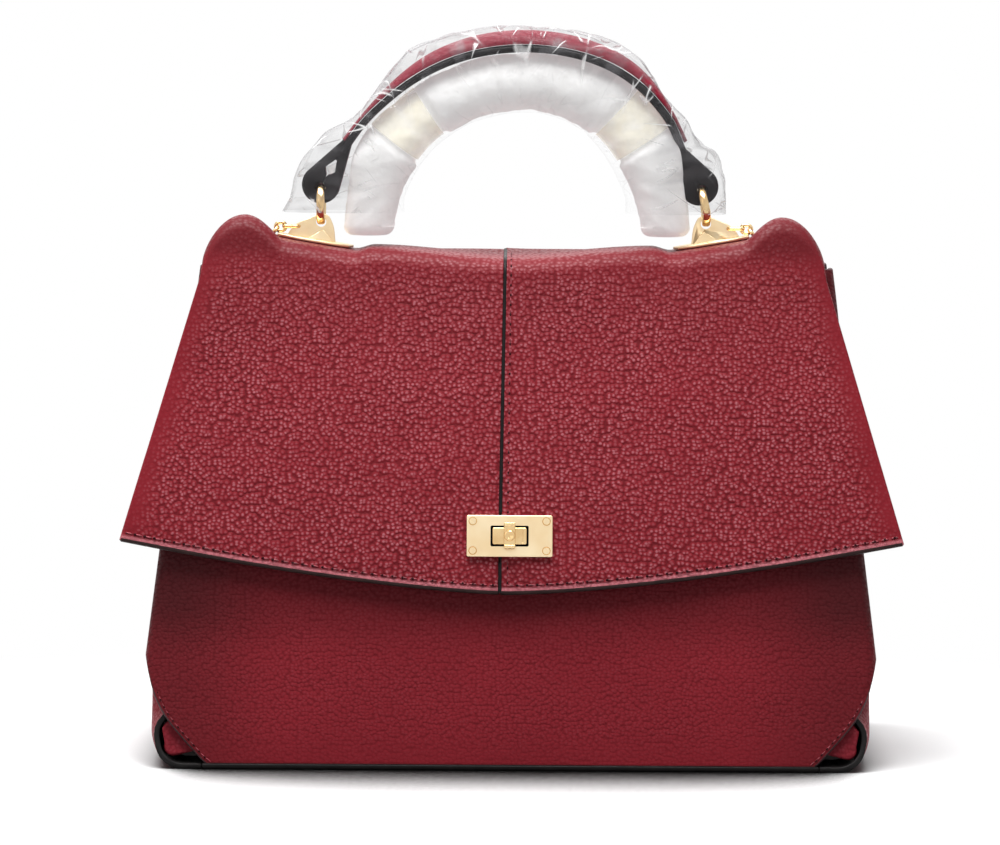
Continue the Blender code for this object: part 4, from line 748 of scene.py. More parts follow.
def link_tree():
    """A straight run of chain links down from the origin, each turned a quarter against the one before."""
    made = Repeat("chain_links", Count="Int", Pitch="Float", Length="Float", Width="Float", Wire="Float")
    count, pitch, length, width, wire = made.sizes
    across = width - wire * 2.0
    flat = made.make("CurvePrimitiveQuadrilateral", Width=across, Height=length - wire * 2.0)
    line = made.make("FilletCurve", Curve=flat, Radius=across * 0.499, Count=8, mode="POLY")
    profile = made.make("CurvePrimitiveCircle", Radius=wire, Resolution=10)
    link = made.make("CurveToMesh", Curve=line, Profile_Curve=profile)
    upright = made.make("Transform", Geometry=link, Rotation=(math.pi / 2, 0, 0))
    points = made.make("MeshLine", Count=count, Offset=made.vector(z=pitch * -1.0))
    number = made.make("InputIndex")
    return made.finish(points, upright, made.vector(z=number * (math.pi / 2)), GOLD)


def screw_tree():
    """Slotted screw heads on every point of the input, each slot turned its own way."""
    made = Repeat("screw_heads", Radius="Float", Height="Float", Slot="Float")
    radius, height, slot = made.sizes
    head = made.make("MeshCylinder", Vertices=32, Radius=radius, Depth=height)
    bar = made.make("MeshCube", Size=made.vector(radius * 3.0, slot, height))
    raised = made.make("Transform", Geometry=bar, Translation=made.vector(z=height * 0.6))
    slotted = made.make("MeshBoolean", Mesh_1=head, Mesh_2=raised, operation="DIFFERENCE")
    turn = made.out("FunctionNodeRandomValue", {2: 0.4, 3: 2.6, "Seed": 5}, 1, data_type="FLOAT")
    return made.finish(made.geometry, slotted, made.vector(z=turn), GOLD_PLATE, smooth_ends=False)


def grow(name, tree, points, edges=(), **sizes):
    """The plain mesh that a tree makes from points and edges."""
    mesh = bpy.data.meshes.new(name + "_path")
    mesh.from_pydata([tuple(point) for point in points], list(edges), [])
    obj = new_object(name, mesh)
    modifier = obj.modifiers.new("grow", "NODES")
    modifier.node_group = tree
    for item in tree.interface.items_tree:
        if item.in_out == "INPUT" and item.name in sizes:
            modifier[item.identifier] = sizes[item.name]
    result = evaluated_mesh(obj)
    obj.modifiers.clear()
    obj.data = result
    return obj


STITCHES = stitch_tree("stitches", THREAD)
FINE_STITCHES = stitch_tree("fine_stitches", FINE_THREAD)
NEEDLE_HOLES = stitch_tree("needle_holes", HOLES)
LINKS = link_tree()
SCREWS = screw_tree()


def path_length(line):
    """How far along a path each of its points lies."""
    return np.concatenate([[0], np.cumsum(np.linalg.norm(np.diff(line, axis=0), axis=1))])


def stitch(name, body, paths, pitch=0.0039, length=0.0031, radius=0.00036, tree=STITCHES):
    """A line of stitches, and dark capsules between them, half a pitch on, as painted shade in the needle holes.
    """
    holes = []
    for line in paths:
        line = np.array(line, float)
        passed = path_length(line)
        late = np.clip(passed, pitch / 2, None)
        moved = np.stack([np.interp(late, passed, line[:, axis]) for axis in range(3)], axis=1)
        holes.append(moved[late > pitch / 2])
    hole_sizes = {"Length": 0.0013, "Radius": radius * 1.25}
    for ending, lines, grown, sizes in (
        ("", paths, tree, {"Length": length, "Radius": radius}),
        ("_holes", holes, NEEDLE_HOLES, hole_sizes),
    ):
        points, edges = [], []
        for line in lines:
            edges += [(n, n + 1) for n in range(len(points), len(points) + len(line) - 1)]
            points += list(line)
        fit(grow(name + ending, grown, points, edges, Pitch=pitch, **sizes), body, "leather")


# Body


def shell_depth(height):
    return mix(BASE_DEPTH, MOUTH_DEPTH, (max(height, 0.0) / BODY_HEIGHT) ** LEAN_POWER) / 2


def panel_depth(aside, height):
    across = 1 - min(abs(aside) / BASE_HALF_WIDTH, 1.0) ** 2
    return shell_depth(height) + BELLY * across * math.sin(math.pi * min(max(height / BODY_HEIGHT, 0.0), 1.0))


def shell_half_width(height):
    return mix(BASE_HALF_WIDTH, MOUTH_HALF_WIDTH, max(height - CUT_TOP, 0.0) / (BODY_HEIGHT - CUT_TOP))


def cut_height(aside):
    share = min(max(abs(aside) - CUT_START, 0.0) / (BASE_HALF_WIDTH - CUT_START), 1.0)
    return mix(PANEL_FOOT, CUT_TOP, share * mix(share**5, 1.0, CUT_SLOPE))


def panel_point(side, flat, turn, run, share):
    """A point of a panel's outer face, which turns round its side edge and then runs on inwards."""
    foot = cut_height(flat * (BASE_HALF_WIDTH - WRAP_RADIUS) + WRAP_RADIUS * math.sin(turn)) + run
    height = mix(foot, BODY_HEIGHT, share)
    edge = shell_half_width(height) - WRAP_RADIUS
    x = side * (flat * edge + WRAP_RADIUS * math.sin(turn))
    depth = panel_depth(flat * edge, height) - WRAP_RADIUS * (1 - math.cos(turn)) - run
    soft = 0.0005 * waves((x, height, 0.3), 0.045, 2.0) + 0.00025 * waves((x, height, 1.1), 0.018, 5.0)
    return x, -(depth + soft * math.cos(turn) * min(share * 8, 1.0)), height


def settled(grid):
    """The mouth of the empty body has sagged a little to one side."""
    grid = np.array(grid)
    grid[..., 0] += 0.0013 * smooth_array((grid[..., 2] - 0.12) / 0.07)
    return grid


def corner_path(side, facing):
    """The line of the stitches along a panel's cut corner."""
    path = []
    step, inwards = 0.0004, 0.0011
    for aside in np.linspace(CUT_START - 0.001, BASE_HALF_WIDTH - 0.0022, 40):
        slope = (cut_height(aside + step) - cut_height(aside - step)) / (2 * step)
        lean = math.hypot(1, slope)
        x, z = aside - inwards * slope / lean, cut_height(aside) + inwards / lean
        depth = panel_depth(x, z) + 0.00005
        over = aside - BASE_HALF_WIDTH + WRAP_RADIUS
        if over > 0:
            depth -= 0.0002 + WRAP_RADIUS - math.sqrt(max(WRAP_RADIUS**2 - over**2, 0.0))
        path.append((side * x, -facing * depth, z))
    return path


def add_panel(name, facing):
    columns = [(n / 70, 0.0, 0.0) for n in range(70)] + [(1.0, math.pi / 2 * n / 8, 0.0) for n in range(9)]
    columns += [(1.0, math.pi / 2, WRAP_RUN * n / 3) for n in range(1, 4)]
    both = [(-1, *column) for column in columns[:0:-1]] + [(1, *column) for column in columns]
    shares = [0.0, 0.004, 0.010, *np.linspace(0.018, 1.0, 57)]
    grid = np.array([[panel_point(*column, share) for column in both] for share in shares])
    walls = [settled(wall * (facing, facing, 1)) for wall in (grid, grid - normals_of(grid) * PANEL_THICKNESS)]
    fit(leather_sheet(name + "_leather", *walls, [LEATHER, SIDE_LEATHER, CUT_EDGE]), "body", "leather", name)
    paths = [corner_path(side, facing) for side in (-1, 1)]
    stitch(name + "_corner_stitches", "body", paths, 0.0030, 0.0025, 0.00024, FINE_STITCHES)


GUSSET_BEND = 0.021
GUSSET_EDGE = 0.72


def gusset_edge_depth(height):
    """The gusset goes to the bag's corner at the foot, and comes in behind the panel's wrapped edge above."""
    behind_panel = shell_depth(max(height, GUSSET_BEND)) - PANEL_THICKNESS - 2 * GAP
    if height < GUSSET_BEND:
        return mix(BASE_DEPTH / 2, behind_panel, max(height - PANEL_FOOT, 0.0) / (GUSSET_BEND - PANEL_FOOT))
    inside_wrap = shell_depth(height) - WRAP_RADIUS - 2 * GAP
    return mix(behind_panel, inside_wrap, smooth((height - GUSSET_BEND) / 0.027))


def gusset_aside(height, share):
    """The gusset bulges at the foot, is drawn in at its edges above the cut, and folds in towards the mouth."""
    edge = shell_half_width(height) - WRAP_GAP
    bulge = 0.0013 * (1 - smooth((height - PINCH_END) / PINCH_END)) * (1 - share**2)
    full = CORNER_RADIUS + PINCH_HEIGHT
    rise = min(max((height - CORNER_RADIUS) / PINCH_HEIGHT, 0.0), 1.0) ** 2
    fall = smooth((height - full) / (PINCH_END - full))
    pinch = 0.008 * rise * (1 - fall) * smooth((abs(share) - GUSSET_EDGE) / (1 - GUSSET_EDGE))
    up = max(height - FOLD_START, 0.0) / (BODY_HEIGHT - FOLD_START)
    inside = 1 - abs(share)
    crease = (math.sqrt(inside**2 + 0.002) - 0.02) if abs(share) < 0.9 else inside * 1.02
    return edge + bulge - pinch - FOLD_DEPTH * up * max(crease, 0.0) ** 1.2


def add_gusset(name, side):
    """A side of the bag, from the mouth down and under the bag in a rounded corner."""
    shares = np.sin(np.linspace(-math.pi / 2, math.pi / 2, 69))

    def row(height, at, shift=0.0):
        return [(gusset_aside(at, share) - shift, share * gusset_edge_depth(height), height) for share in shares]

    grid = [row(height, height) for height in np.linspace(BODY_HEIGHT, CORNER_RADIUS, 76)]
    for turn in np.linspace(0, math.pi / 2, 17)[1:]:
        shift = CORNER_RADIUS * (1 - math.cos(turn))
        grid.append(row(CORNER_RADIUS * (1 - math.sin(turn)), CORNER_RADIUS, shift))
    for aside in np.linspace(grid[-1][0][0], BASE_HALF_LENGTH, 4)[1:]:
        grid.append([(aside, share * BASE_DEPTH / 2, 0.0) for share in shares])
    grid = np.array(grid)
    rise = np.clip(grid[..., 2] / 0.010, 0, 1) * np.clip((0.026 - grid[..., 2]) / 0.012, 0, 1)
    grid[..., 0] -= 0.0016 * rise * np.clip((np.abs(shares) - GUSSET_EDGE) / (1 - GUSSET_EDGE), 0, 1) ** 2
    inner = grid + normals_of(grid) * GUSSET_THICKNESS
    inner[-4:] = grid[-4:]
    inner[:, :, 2] = np.maximum(inner[:, :, 2], GUSSET_THICKNESS)
    inner[-4:, :, 2] = GUSSET_THICKNESS
    walls = [settled(wall * (side, 1, 1)) for wall in (grid, inner)]
    fit(leather_sheet(name + "_leather", *walls, [SIDE_LEATHER, EDGE, EDGE], 0.3), "body", "leather", name)


def add_base():
    outline = rounded_box(BASE_HALF_LENGTH - GAP, BASE_DEPTH / 2, 0.0006, 2)
    fit(slab("base_leather", outline, 0.0, GUSSET_THICKNESS, 0.0006, EDGE), "body", "leather", "base_panel")
    outline = rounded_box(BASE_HALF_LENGTH - 0.0035, 0.0541, 0.003)
    board = slab("stiffening_board", outline, PANEL_FOOT, PANEL_FOOT + BOARD_THICKNESS, 0.0003, BOARD)
    fit(board, "body", "fibre_board", "base_board")


def add_tab(name, side, facing):
    """The folded leather in a cut corner."""
    margin = GUSSET_THICKNESS + 3 * GAP
    tip = CORNER_RADIUS - margin - TAB_TIP_RADIUS
    turn = math.radians(-50)
    x = BASE_HALF_WIDTH - WRAP_GAP - CORNER_RADIUS + tip * math.cos(turn)
    z = CORNER_RADIUS + tip * math.sin(turn)
    outline = []
    for turn in np.radians(range(-100, 21, 10)):
        outline.append((x + TAB_TIP_RADIUS * math.cos(turn), z + TAB_TIP_RADIUS * math.sin(turn)))
    for height, back in ((0.0155, 0.0012), (0.0175, 0.0018), (0.0200, 0.0025), (0.0224, 0.0032)):
        outline.append((gusset_aside(height, 1.0) - margin - back, height))
    outline.append((outline[-1][0] - 0.0070, outline[-1][1]))
    outline.append((CUT_START + GAP, PANEL_FOOT + 0.0095))
    outline.append((CUT_START + 0.0048, PANEL_FOOT + 0.0042))
    loops = []
    for layer, shrink in ((0.00035, 0.0026), (0.0, 0.0010), (0.0001, 0.0003), (0.0005, 0.0), (0.0014, 0.0)):
        loop = []
        for aside, height in inset(outline, shrink):
            depth = shell_depth(height) - PANEL_THICKNESS - GAP - layer
            loop.append((side * aside, -facing * depth, height))
        loops.append(loop)
    fit(tube(name + "_leather", loops, [SIDE_LEATHER]), "body", "leather", name)


def lining_loop(height, top):
    """The lining follows the two gussets and the two panels with a little slack."""
    slack = GAP + 0.0020 * (1 - 0.5 * height / top)
    reach = min(shell_depth(max(height, 0.048)) - WRAP_RADIUS - 2 * GAP, gusset_edge_depth(height) - slack)
    shares = 0.98 * np.sin(np.linspace(-math.pi / 2, math.pi / 2, 29))
    face = np.array([(gusset_aside(max(height, CORNER_RADIUS), share), share * reach) for share in shares])
    along = np.gradient(face, axis=0)
    along /= lengths(along)
    face += np.stack([-along[:, 1], along[:, 0]], axis=1) * (GUSSET_THICKNESS + GAP + slack)
    drop = max(CORNER_RADIUS - height, 0.0)
    face[:, 0] -= CORNER_RADIUS - math.sqrt(CORNER_RADIUS**2 - drop**2)
    front = []
    for x in np.linspace(-0.96, 0.96, 45) * face[0, 0]:
        front.append((x, panel_depth(x, height) - PANEL_THICKNESS - slack))
    loop = [(x, -y, height) for x, y in front] + [(x, y, height) for x, y in face]
    return loop + [(x, y, height) for x, y in front[::-1]] + [(-x, y, height) for x, y in face[::-1]]


def add_lining():
    thickness = 0.0008
    floor, top = PANEL_FOOT + BOARD_THICKNESS + GAP, BODY_HEIGHT - 0.0020
    heights = [mix(floor, top, share) for share in (0.0, 0.01, 0.025, *np.linspace(0.045, 1.0, 27))]
    outer = np.array([lining_loop(height, top) for height in heights])
    inner = outer - normals_of(outer, True) * thickness
    inner[:, :, 2] = outer[:, :, 2]
    inner[0, :, 2] += thickness
    lining = double_wall("lining_cloth_tub", settled(outer), settled(inner), CLOTH, sharp=50, floor=True)
    fit(lining, "body", "lining_cloth", "body_lining")


# Flap

RIDGE_BEND = 0.056
ANCHOR_ROWS, HINGE_ROWS, FOLD_ROWS = 14, 12, 15
FRONT_SHARES = [*np.linspace(0, 0.985, 63)[1:], 0.988, 0.991, 0.994, 0.997, 1.0]


def ridge(aside, peak, outer=SEAT_OUTER + GAP):
    """Rise of the flap's top: a dip by its middle, the slope under the fin plate, and a shoulder."""
    inner = SEAT_INNER - 0.0030 - GAP
    slope = math.tan(SEAT_TILT)
    if aside < inner:
        rise = mix(-0.0012, 0.0024, smooth(aside / RIDGE_BEND))
        seat = SEAT_RISE - (SEAT_INNER - inner) * slope
        return mix(rise, seat, smooth((aside - RIDGE_BEND) / (inner - RIDGE_BEND)))
    seat = SEAT_RISE + (min(aside, outer) - SEAT_INNER) * slope
    if aside < outer:
        return seat
    if aside < SHOULDER_MIDDLE:
        return mix(seat, peak, math.sin(math.pi / 2 * (aside - outer) / (SHOULDER_MIDDLE - outer)))
    share = min((aside - SHOULDER_MIDDLE) / (FLAP_HALF - SHOULDER_MIDDLE), 1.0)
    return mix(-0.0024, peak, (1 - share**2) ** 0.72)


def flap_front(aside, height):
    return -panel_depth(aside, height) - FLAP_STANDOFF


def flap_relief(x, height, down, above_edge):
    """Waves that fade at the fold, the lock and the lower edge, and the groove that the stitches pull in."""
    soft = 0.0006 * waves((x, height, 0.7), 0.05, 8.0) + 0.0003 * waves((x, height, 0.2), 0.02, 3.0)
    ease = min(down * 5, 1.0) * (1 - 0.5 * smooth((down - 0.9) * 10))
    off_lock = smooth((math.hypot(x - LOCK_ASIDE, height - LOCK_HEIGHT) - 0.018) / 0.02)
    return soft * ease * off_lock - 0.00035 * math.exp(-(((above_edge - 0.0027) / 0.0011) ** 2))


def flap_column(share):
    """Points along the flap's outer face: up from the seam on the back panel, over the top, down the front."""
    side, size = (-1 if share < 0 else 1), abs(share)
    top_aside, anchor = size * FLAP_HALF, size * ANCHOR_HALF_WIDTH
    low, high = FLAP_TOP + ridge(top_aside, 0.0085), FLAP_TOP + ridge(top_aside, 0.0155, 0.0925)
    points = []
    for n, height in enumerate(np.linspace(ANCHOR_TOP - ANCHOR_LENGTH, ANCHOR_TOP - 0.0005, ANCHOR_ROWS)):
        depth = max(panel_depth(anchor, height) + GAP + ANCHOR_THICKNESS, 0.0259)
        points.append((mix(anchor, top_aside, smooth((n - 6) / 10) * 0.35), depth, height))
    for n in range(1, 6):
        turn = math.pi / 2 * n / 6
        height = mix(ANCHOR_TOP, FLAP_TOP, math.sin(turn))
        points.append((mix(anchor, top_aside, 0.35 + 0.65 * n / 6), HINGE_BACK + 0.0030 * math.cos(turn), height))
    for n in range(HINGE_ROWS):
        passed = n / (HINGE_ROWS - 1)
        points.append((top_aside, mix(HINGE_BACK, FLAP_HALF_TOP, passed), mix(FLAP_TOP, low, smooth(passed))))
    fold_y = flap_front(top_aside, high)
    fall = fold_y - flap_front(top_aside, high - FLAP_FOLD_RADIUS)
    full_turn = math.pi / 2 - math.atan2(fall, FLAP_FOLD_RADIUS)
    start_y = fold_y + FLAP_FOLD_RADIUS * math.tan(full_turn / 2)
    points += [(top_aside, mix(FLAP_HALF_TOP, -FLAP_HALF_TOP, n / 8), low) for n in range(1, 9)]
    for passed in (0.25, 0.5, 0.75):
        points.append((top_aside, mix(-FLAP_HALF_TOP, start_y, passed), mix(low, high, smooth(passed))))
    for turn in np.linspace(0, full_turn, FOLD_ROWS):
        y = start_y - FLAP_FOLD_RADIUS * math.sin(turn)
        points.append((top_aside, y, high - FLAP_FOLD_RADIUS * (1 - math.cos(turn))))
    last_y, last_height = points[-1][1:]
    catch_up = last_y - flap_front(top_aside, last_height)
    edge = mix(FLAP_MIDDLE_HEIGHT, FLAP_CORNER[1], size**FLAP_EDGE_POWER)
    for down in FRONT_SHARES:
        height = mix(last_height, edge, down)
        aside = size * mix(FLAP_HALF, FLAP_CORNER[0], down)
        y = flap_front(aside, height) + catch_up * (1 - down)
        y -= flap_relief(side * aside, height, down, (1 - down) * (last_height - edge))
        points.append((aside, y, height))
    return [(side * aside + seam_lean(aside, height), y, height) for aside, y, height in points]


def seam_lean(aside, height):
    """The seam leans to one side, and takes the leather near it along."""
    return mix(-0.0013, -0.0006, min(max((height - 0.11) / 0.09, 0.0), 1.0)) * math.exp(-((aside / 0.035) ** 2))


def flap_shares():
    half = [*np.linspace(0, 0.52, 41), *np.linspace(0.52, 0.78, 19)[1:]]
    half += [0.78 + 0.22 * math.sin(math.pi / 2 * n / 34) for n in range(1, 35)]
    return [-share for share in half[:0:-1]] + half


def add_flap():
    """Two leather halves that meet in the seam. Each is one sheet from the back panel to the front edge."""
    left = [share for share in flap_shares() if share < SEAM - 3 * SEAM_HALF]
    left += [SEAM - 2.2 * SEAM_HALF, SEAM - 1.5 * SEAM_HALF]
    right = [SEAM + steps * SEAM_HALF for steps in (0, 0.8, 2, 4)]
    right += [share for share in flap_shares() if share > SEAM + 5 * SEAM_HALF]
    for name, shares, lift, side_column, nodes in (
        ("flap_left", left, -0.0002, 0, ("flap_left_panel", "flap_anchor_strip")),
        ("flap_right", right, 0.0004, len(right) - 1, ("flap_right_panel", "flap_lining")),
    ):
        outer = np.array([flap_column(share) for share in shares]).transpose(1, 0, 2)
        normals = normals_of(outer)
        steady_normals(outer, normals, shares)
        rows = (ANCHOR_ROWS - 1, ANCHOR_ROWS - 1 + HINGE_ROWS)
        thickness = np.interp(np.arange(len(outer)), rows, (ANCHOR_THICKNESS, FLAP_STACK))
        inner = outer + normals * thickness[:, None, None]
        near_seam = np.exp(-np.abs(np.array(shares) - SEAM) / (6 * SEAM_HALF))
        outer = outer - normals * lift * near_seam[:, None]
        materials = [FLAP_LEATHER, FLAP_INSIDE, FLAP_EDGE]
        flap = leather_sheet(name + "_leather", outer, inner, materials, 0.5, 2, side_column)
        cut_slots(flap)
        keep_place(flap)
        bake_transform(flap)
        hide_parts(*nodes)
    add_seam_edge()
    add_flap_stitches()


def add_seam_edge():
    """The raw black edge of the right half, which stands up along the seam, above and below the lock."""
    line = [point for point in flap_column(SEAM - 0.6 * SEAM_HALF) if point[1] < 0.019]
    spans = (("seam_edge_upper", SEAM_BREAK[1], 1.0), ("seam_edge_lower", 0.0, SEAM_BREAK[0] + 0.0002))
    for name, low, high in spans:
        part = np.array([point for point in line if low < point[2] < high])
        heading = np.gradient(part, axis=0)
        aside = np.array((1.0, 0.0, 0.0))
        out = np.cross(heading / lengths(heading), aside)
        loops = []
        for turn in turns(12):
            loops.append(part + 0.00072 * math.cos(turn) * aside + out * (0.0006 * math.sin(turn) + 0.0001))
        fit(tube(name, np.array(loops).transpose(1, 0, 2), [EDGE]), "flap", "leather")


def steady_normals(outer, normals, shares):
    """At the front's side edges rows run nearly along columns, so normals come from the panel's shape."""
    step = 0.0005
    first = len(outer) - FOLD_ROWS - len(FRONT_SHARES)
    for row in range(first, len(outer)):
        turned = min((row - first) / (FOLD_ROWS - 1), 1.0)
        for column, share in enumerate(shares):
            x, height = outer[row, column, 0], outer[row, column, 2]
            across = (flap_front(abs(x) + step, height) - flap_front(abs(x), height)) / step
            down = (flap_front(x, height + step) - flap_front(x, height)) / step
            steady = np.array((math.copysign(across, x), -1.0, down))
            steady /= np.linalg.norm(steady)
            near_edge = smooth((abs(share) - 0.97) / 0.03) * turned
            old_share = 1 - max(turned * 0.999, near_edge)
            mixed = normals[row, column] * old_share - steady * max(turned, near_edge)
            normals[row, column] = mixed / np.linalg.norm(mixed)


def lock_place():
    """Moves a thing drawn flat onto the front panel, where the lock sits."""
    low, high = (panel_depth(LOCK_ASIDE, LOCK_HEIGHT + up) for up in (-LOCK_HALF_HEIGHT, LOCK_HALF_HEIGHT))
    lean = math.atan2(low - high, 2 * LOCK_HALF_HEIGHT)
    middle = (LOCK_ASIDE, -panel_depth(LOCK_ASIDE, LOCK_HEIGHT), LOCK_HEIGHT)
    return Matrix.Translation(middle) @ Matrix.Rotation(math.pi / 2 - lean, 4, "X")


def cut_slots(flap):
    """The lock's slot and the two slots that the chains go down through."""
    carve(flap, rounded_box(0.0078, 0.0044, 0.0008), 0.0012, 0.012, EDGE, lock_place(), round_by=0.0002)
    for side in (-1, 1):
        place = Matrix.Translation((side * 0.097809, 0.0021, 0.208651))
        carve(flap, rounded_box(0.0030, 0.0051, 0.0022), -0.009, 0.009, FLAP_INSIDE, place, round_by=0.0002)


def on_flap(share, above_edge):
    """A point on the flap's outer face, that far above its lower edge."""
    front = np.array(flap_column(share))[1 - len(FRONT_SHARES) :][::-1]
    height = front[0, 2] + above_edge
    return [np.interp(height, front[:, 2], front[:, axis]) for axis in (0, 1)] + [height]


def add_flap_stitches():
    paths = []
    for low, high in ((-0.985, SEAM - 0.022), (SEAM + 0.024, 0.985)):
        paths.append([on_flap(share, 0.0029) for share in np.linspace(low, high, 61)])
    seam = flap_column(SEAM + 0.0155)[27:]
    paths.append([point for point in seam if point[2] > SEAM_BREAK[1]])
    paths.append([point for point in seam if 0.0722 < point[2] < SEAM_BREAK[0]])
    stitch("flap_stitches", "flap", [[(x, y - 0.00008, z) for x, y, z in path] for path in paths])
    back = []
    for height in (0.1690, 0.1735):
        asides = np.linspace(-ANCHOR_HALF_WIDTH + 0.003, ANCHOR_HALF_WIDTH - 0.003, 61)
        back.append([(x, panel_depth(x, height) + GAP + 0.0017, height) for x in asides])
    stitch("back_stitches", "body", back)


# Lock

PLATE_THICKNESS = 0.0012
ISLAND_RISE = 0.0006
# Half the width, half the height and the corner radius of each flat part and of the openings
PLATE, PLATE_OPENING = (0.0169, 0.0082, 0.0007), (0.0075, 0.0041, 0.0006)
BACKING, BACKING_OPENING = (0.0159, 0.0077, 0.001), (0.0078, 0.0044, 0.0006)
ISLAND, FLANGE, WASHER = (0.0067, 0.0033, 0.0006), (0.0097, 0.0063, 0.0015), (0.0105, 0.0071, 0.003)
KNOB, LIP = (0.00225, 0.0053, 0.0009), (0.00215, 0.0007, 0.0003)
END_LINE = (0.00022, 0.0027, 0.0002)
SCREW_SPOT = (0.0145, 0.0058)
SEAT_RADIUS, BORE_RADIUS, SHAFT_RADIUS = 0.00165, 0.0015, 0.0012
# How far a cutter stands out of what it cuts
CLEAR = 0.002


def add_lock():
    place = lock_place()
    low = FLAP_STANDOFF + GAP
    top = low + PLATE_THICKNESS
    plate = slab("lock_plate_gold", rounded_box(*PLATE, 4), low, top, 0.0003, GOLD_PLATE, place)
    # The opening's walls take the black edge paint, as painted shade in the gap round the island.
    carve(plate, rounded_box(*PLATE_OPENING), low - CLEAR, top + CLEAR, EDGE, place)
    corners = [(x * SCREW_SPOT[0], y * SCREW_SPOT[1]) for x, y in QUARTERS]
    for x, y in corners:
        seat_place = place @ Matrix.Translation((x, y, 0))
        carve(plate, circle(SEAT_RADIUS, 32), top - 0.0007, top + CLEAR, GOLD, seat_place)
    fit(plate, "flap", "gold_metal", "lock_plate")
    backing = slab("backing_gold", rounded_box(*BACKING), 0.0015, 0.0022, 0.0001, GOLD_PLATE, place)
    carve(backing, rounded_box(*BACKING_OPENING), 0.0, 0.004, GOLD_PLATE, place)
    fit(backing, "flap", "gold_metal", "lock_backing_plate")
    spots = [(x, y, top - 0.0001) for x, y in corners]
    heads = grow("lock_screw_heads", SCREWS, spots, Radius=0.0013, Height=0.0012, Slot=0.00055)
    heads.data.transform(place)
    fit(heads, "flap", "gold_metal", *[f"lock_plate_screw_{n}" for n in (1, 2, 3, 4)])
    add_island(place, top + ISLAND_RISE)
    add_knob(place, top + ISLAND_RISE)


def add_island(place, top):
    """The body's half of the lock: an island with a flange round its foot, and the washer behind it."""
    island = slab("lock_island", rounded_box(*ISLAND), 0.0006, top, 0.0003, GOLD, place)
    # The flange takes the black edge paint: partly the slot's own painted edge, partly painted shade in the gap
    # round the island.
    carve(island, rounded_box(*FLANGE), GAP, 0.0011, EDGE, place, "UNION")
    end_line = place @ Matrix.Translation((0.0052, 0, 0))
    carve(island, rounded_box(*END_LINE), top - 0.0003, top + CLEAR, GOLD, end_line)
    carve(island, circle(BORE_RADIUS, 32), top - 0.0043, top + CLEAR, GOLD, place)
    fit(island, "body", "gold_metal", "lock_base")
    washer = slab("lock_washer_gold", rounded_box(*WASHER), -0.0031, -0.0023, 0.0002, GOLD_PLATE, place)
    fit(washer, "body", "gold_metal", "lock_washer")


# The stud's radius at each level above the turn bar's foot
STUD = (
    (0.0022, 0.0014), (0.0022, 0.0027), (0.0020, 0.00305), (0.0015, 0.00325), (0.0010, 0.0031), (0.0006, 0.0029),
)


def add_knob(place, island_top):
    """A turn bar with folded ends and a round stud in its middle."""
    low = island_top + 0.0005
    knob = slab("turn_knob_bar", rounded_box(*KNOB, 5), low, low + 0.0024, 0.0005, GOLD, place, 4)
    for end in (-0.0044, 0.0044):
        lip_place = place @ Matrix.Translation((0, end, 0))
        carve(knob, rounded_box(*LIP), low + 0.0018, low + 0.0029, GOLD, lip_place, "UNION", 0.00025)
    loops = [[(x, y, low + level) for x, y in circle(radius, 40)] for radius, level in STUD]
    stud = tube("stud", loops, [GOLD])
    stud.data.transform(place)
    cut(knob, stud, "UNION")
    carve(knob, circle(SHAFT_RADIUS, 24), island_top - 0.004, low + 0.0004, GOLD, place, "UNION")
    fit(knob, "turn_knob", "gold_metal", "turn_knob")


# Fin plates, rings and chains

FIN_START, FIN_LENGTH, FIN_HEIGHT = 0.005, 0.0195, 0.0103
FIN = (
    (-0.02, -0.1), (0.0, 0.0), (0.08, 0.58), (0.2, 0.94), (0.28, 1.02), (0.41, 1.0),
    (0.62, 0.76), (0.84, 0.52), (0.96, 0.2), (1.0, 0.0), (1.02, -0.1),
)
FACET = ((0.01, -0.05), (0.30, 0.42), (0.58, -0.05))
HANDS = ((-1, "left"), (1, "right"))
RING_HOLE, CHAIN_HOLE = (0.0121, 0.0084), (0.0202, 0.0052)
RING_RADIUS = 0.0072
RING_HALF_WIDTH, RING_HALF_DEPTH = 0.0012, 0.0017
# Each link's length, and how many degrees it drops
CHAIN = ((0.0078, 0), (0.0056, 5), (0.0056, 50))
LINK = {"Width": 0.0048, "Wire": 0.0008}
TAIL_LINK = {"Width": 0.0044, "Wire": 0.0005}


def upright_turn(across, up, onwards):
    """The turn that brings X, Y and Z onto these three directions."""
    return Matrix((across, up, onwards)).transposed().to_4x4()


def fin_place(side):
    outwards = Vector((side * math.cos(SEAT_TILT), 0, math.sin(SEAT_TILT)))
    up = Vector((-side * math.sin(SEAT_TILT), 0, math.cos(SEAT_TILT)))
    middle = (side * SEAT_INNER, 0, FLAP_TOP + SEAT_RISE + GAP)
    return Matrix.Translation(middle) @ upright_turn(outwards, up.cross(outwards), up)


def smooth_outline(points, rounds=2):
    """Cuts the corners of a closed outline."""
    points = np.array(points, float)
    for _ in range(rounds):
        after = np.roll(points, -1, 0)
        points = np.stack([mix(points, after, 0.22), mix(points, after, 0.78)], axis=1).reshape(-1, 2)
    return points


def fin_outline(shares):
    return [(FIN_START + along * FIN_LENGTH, PLATE_THICKNESS + up * FIN_HEIGHT) for along, up in shares]


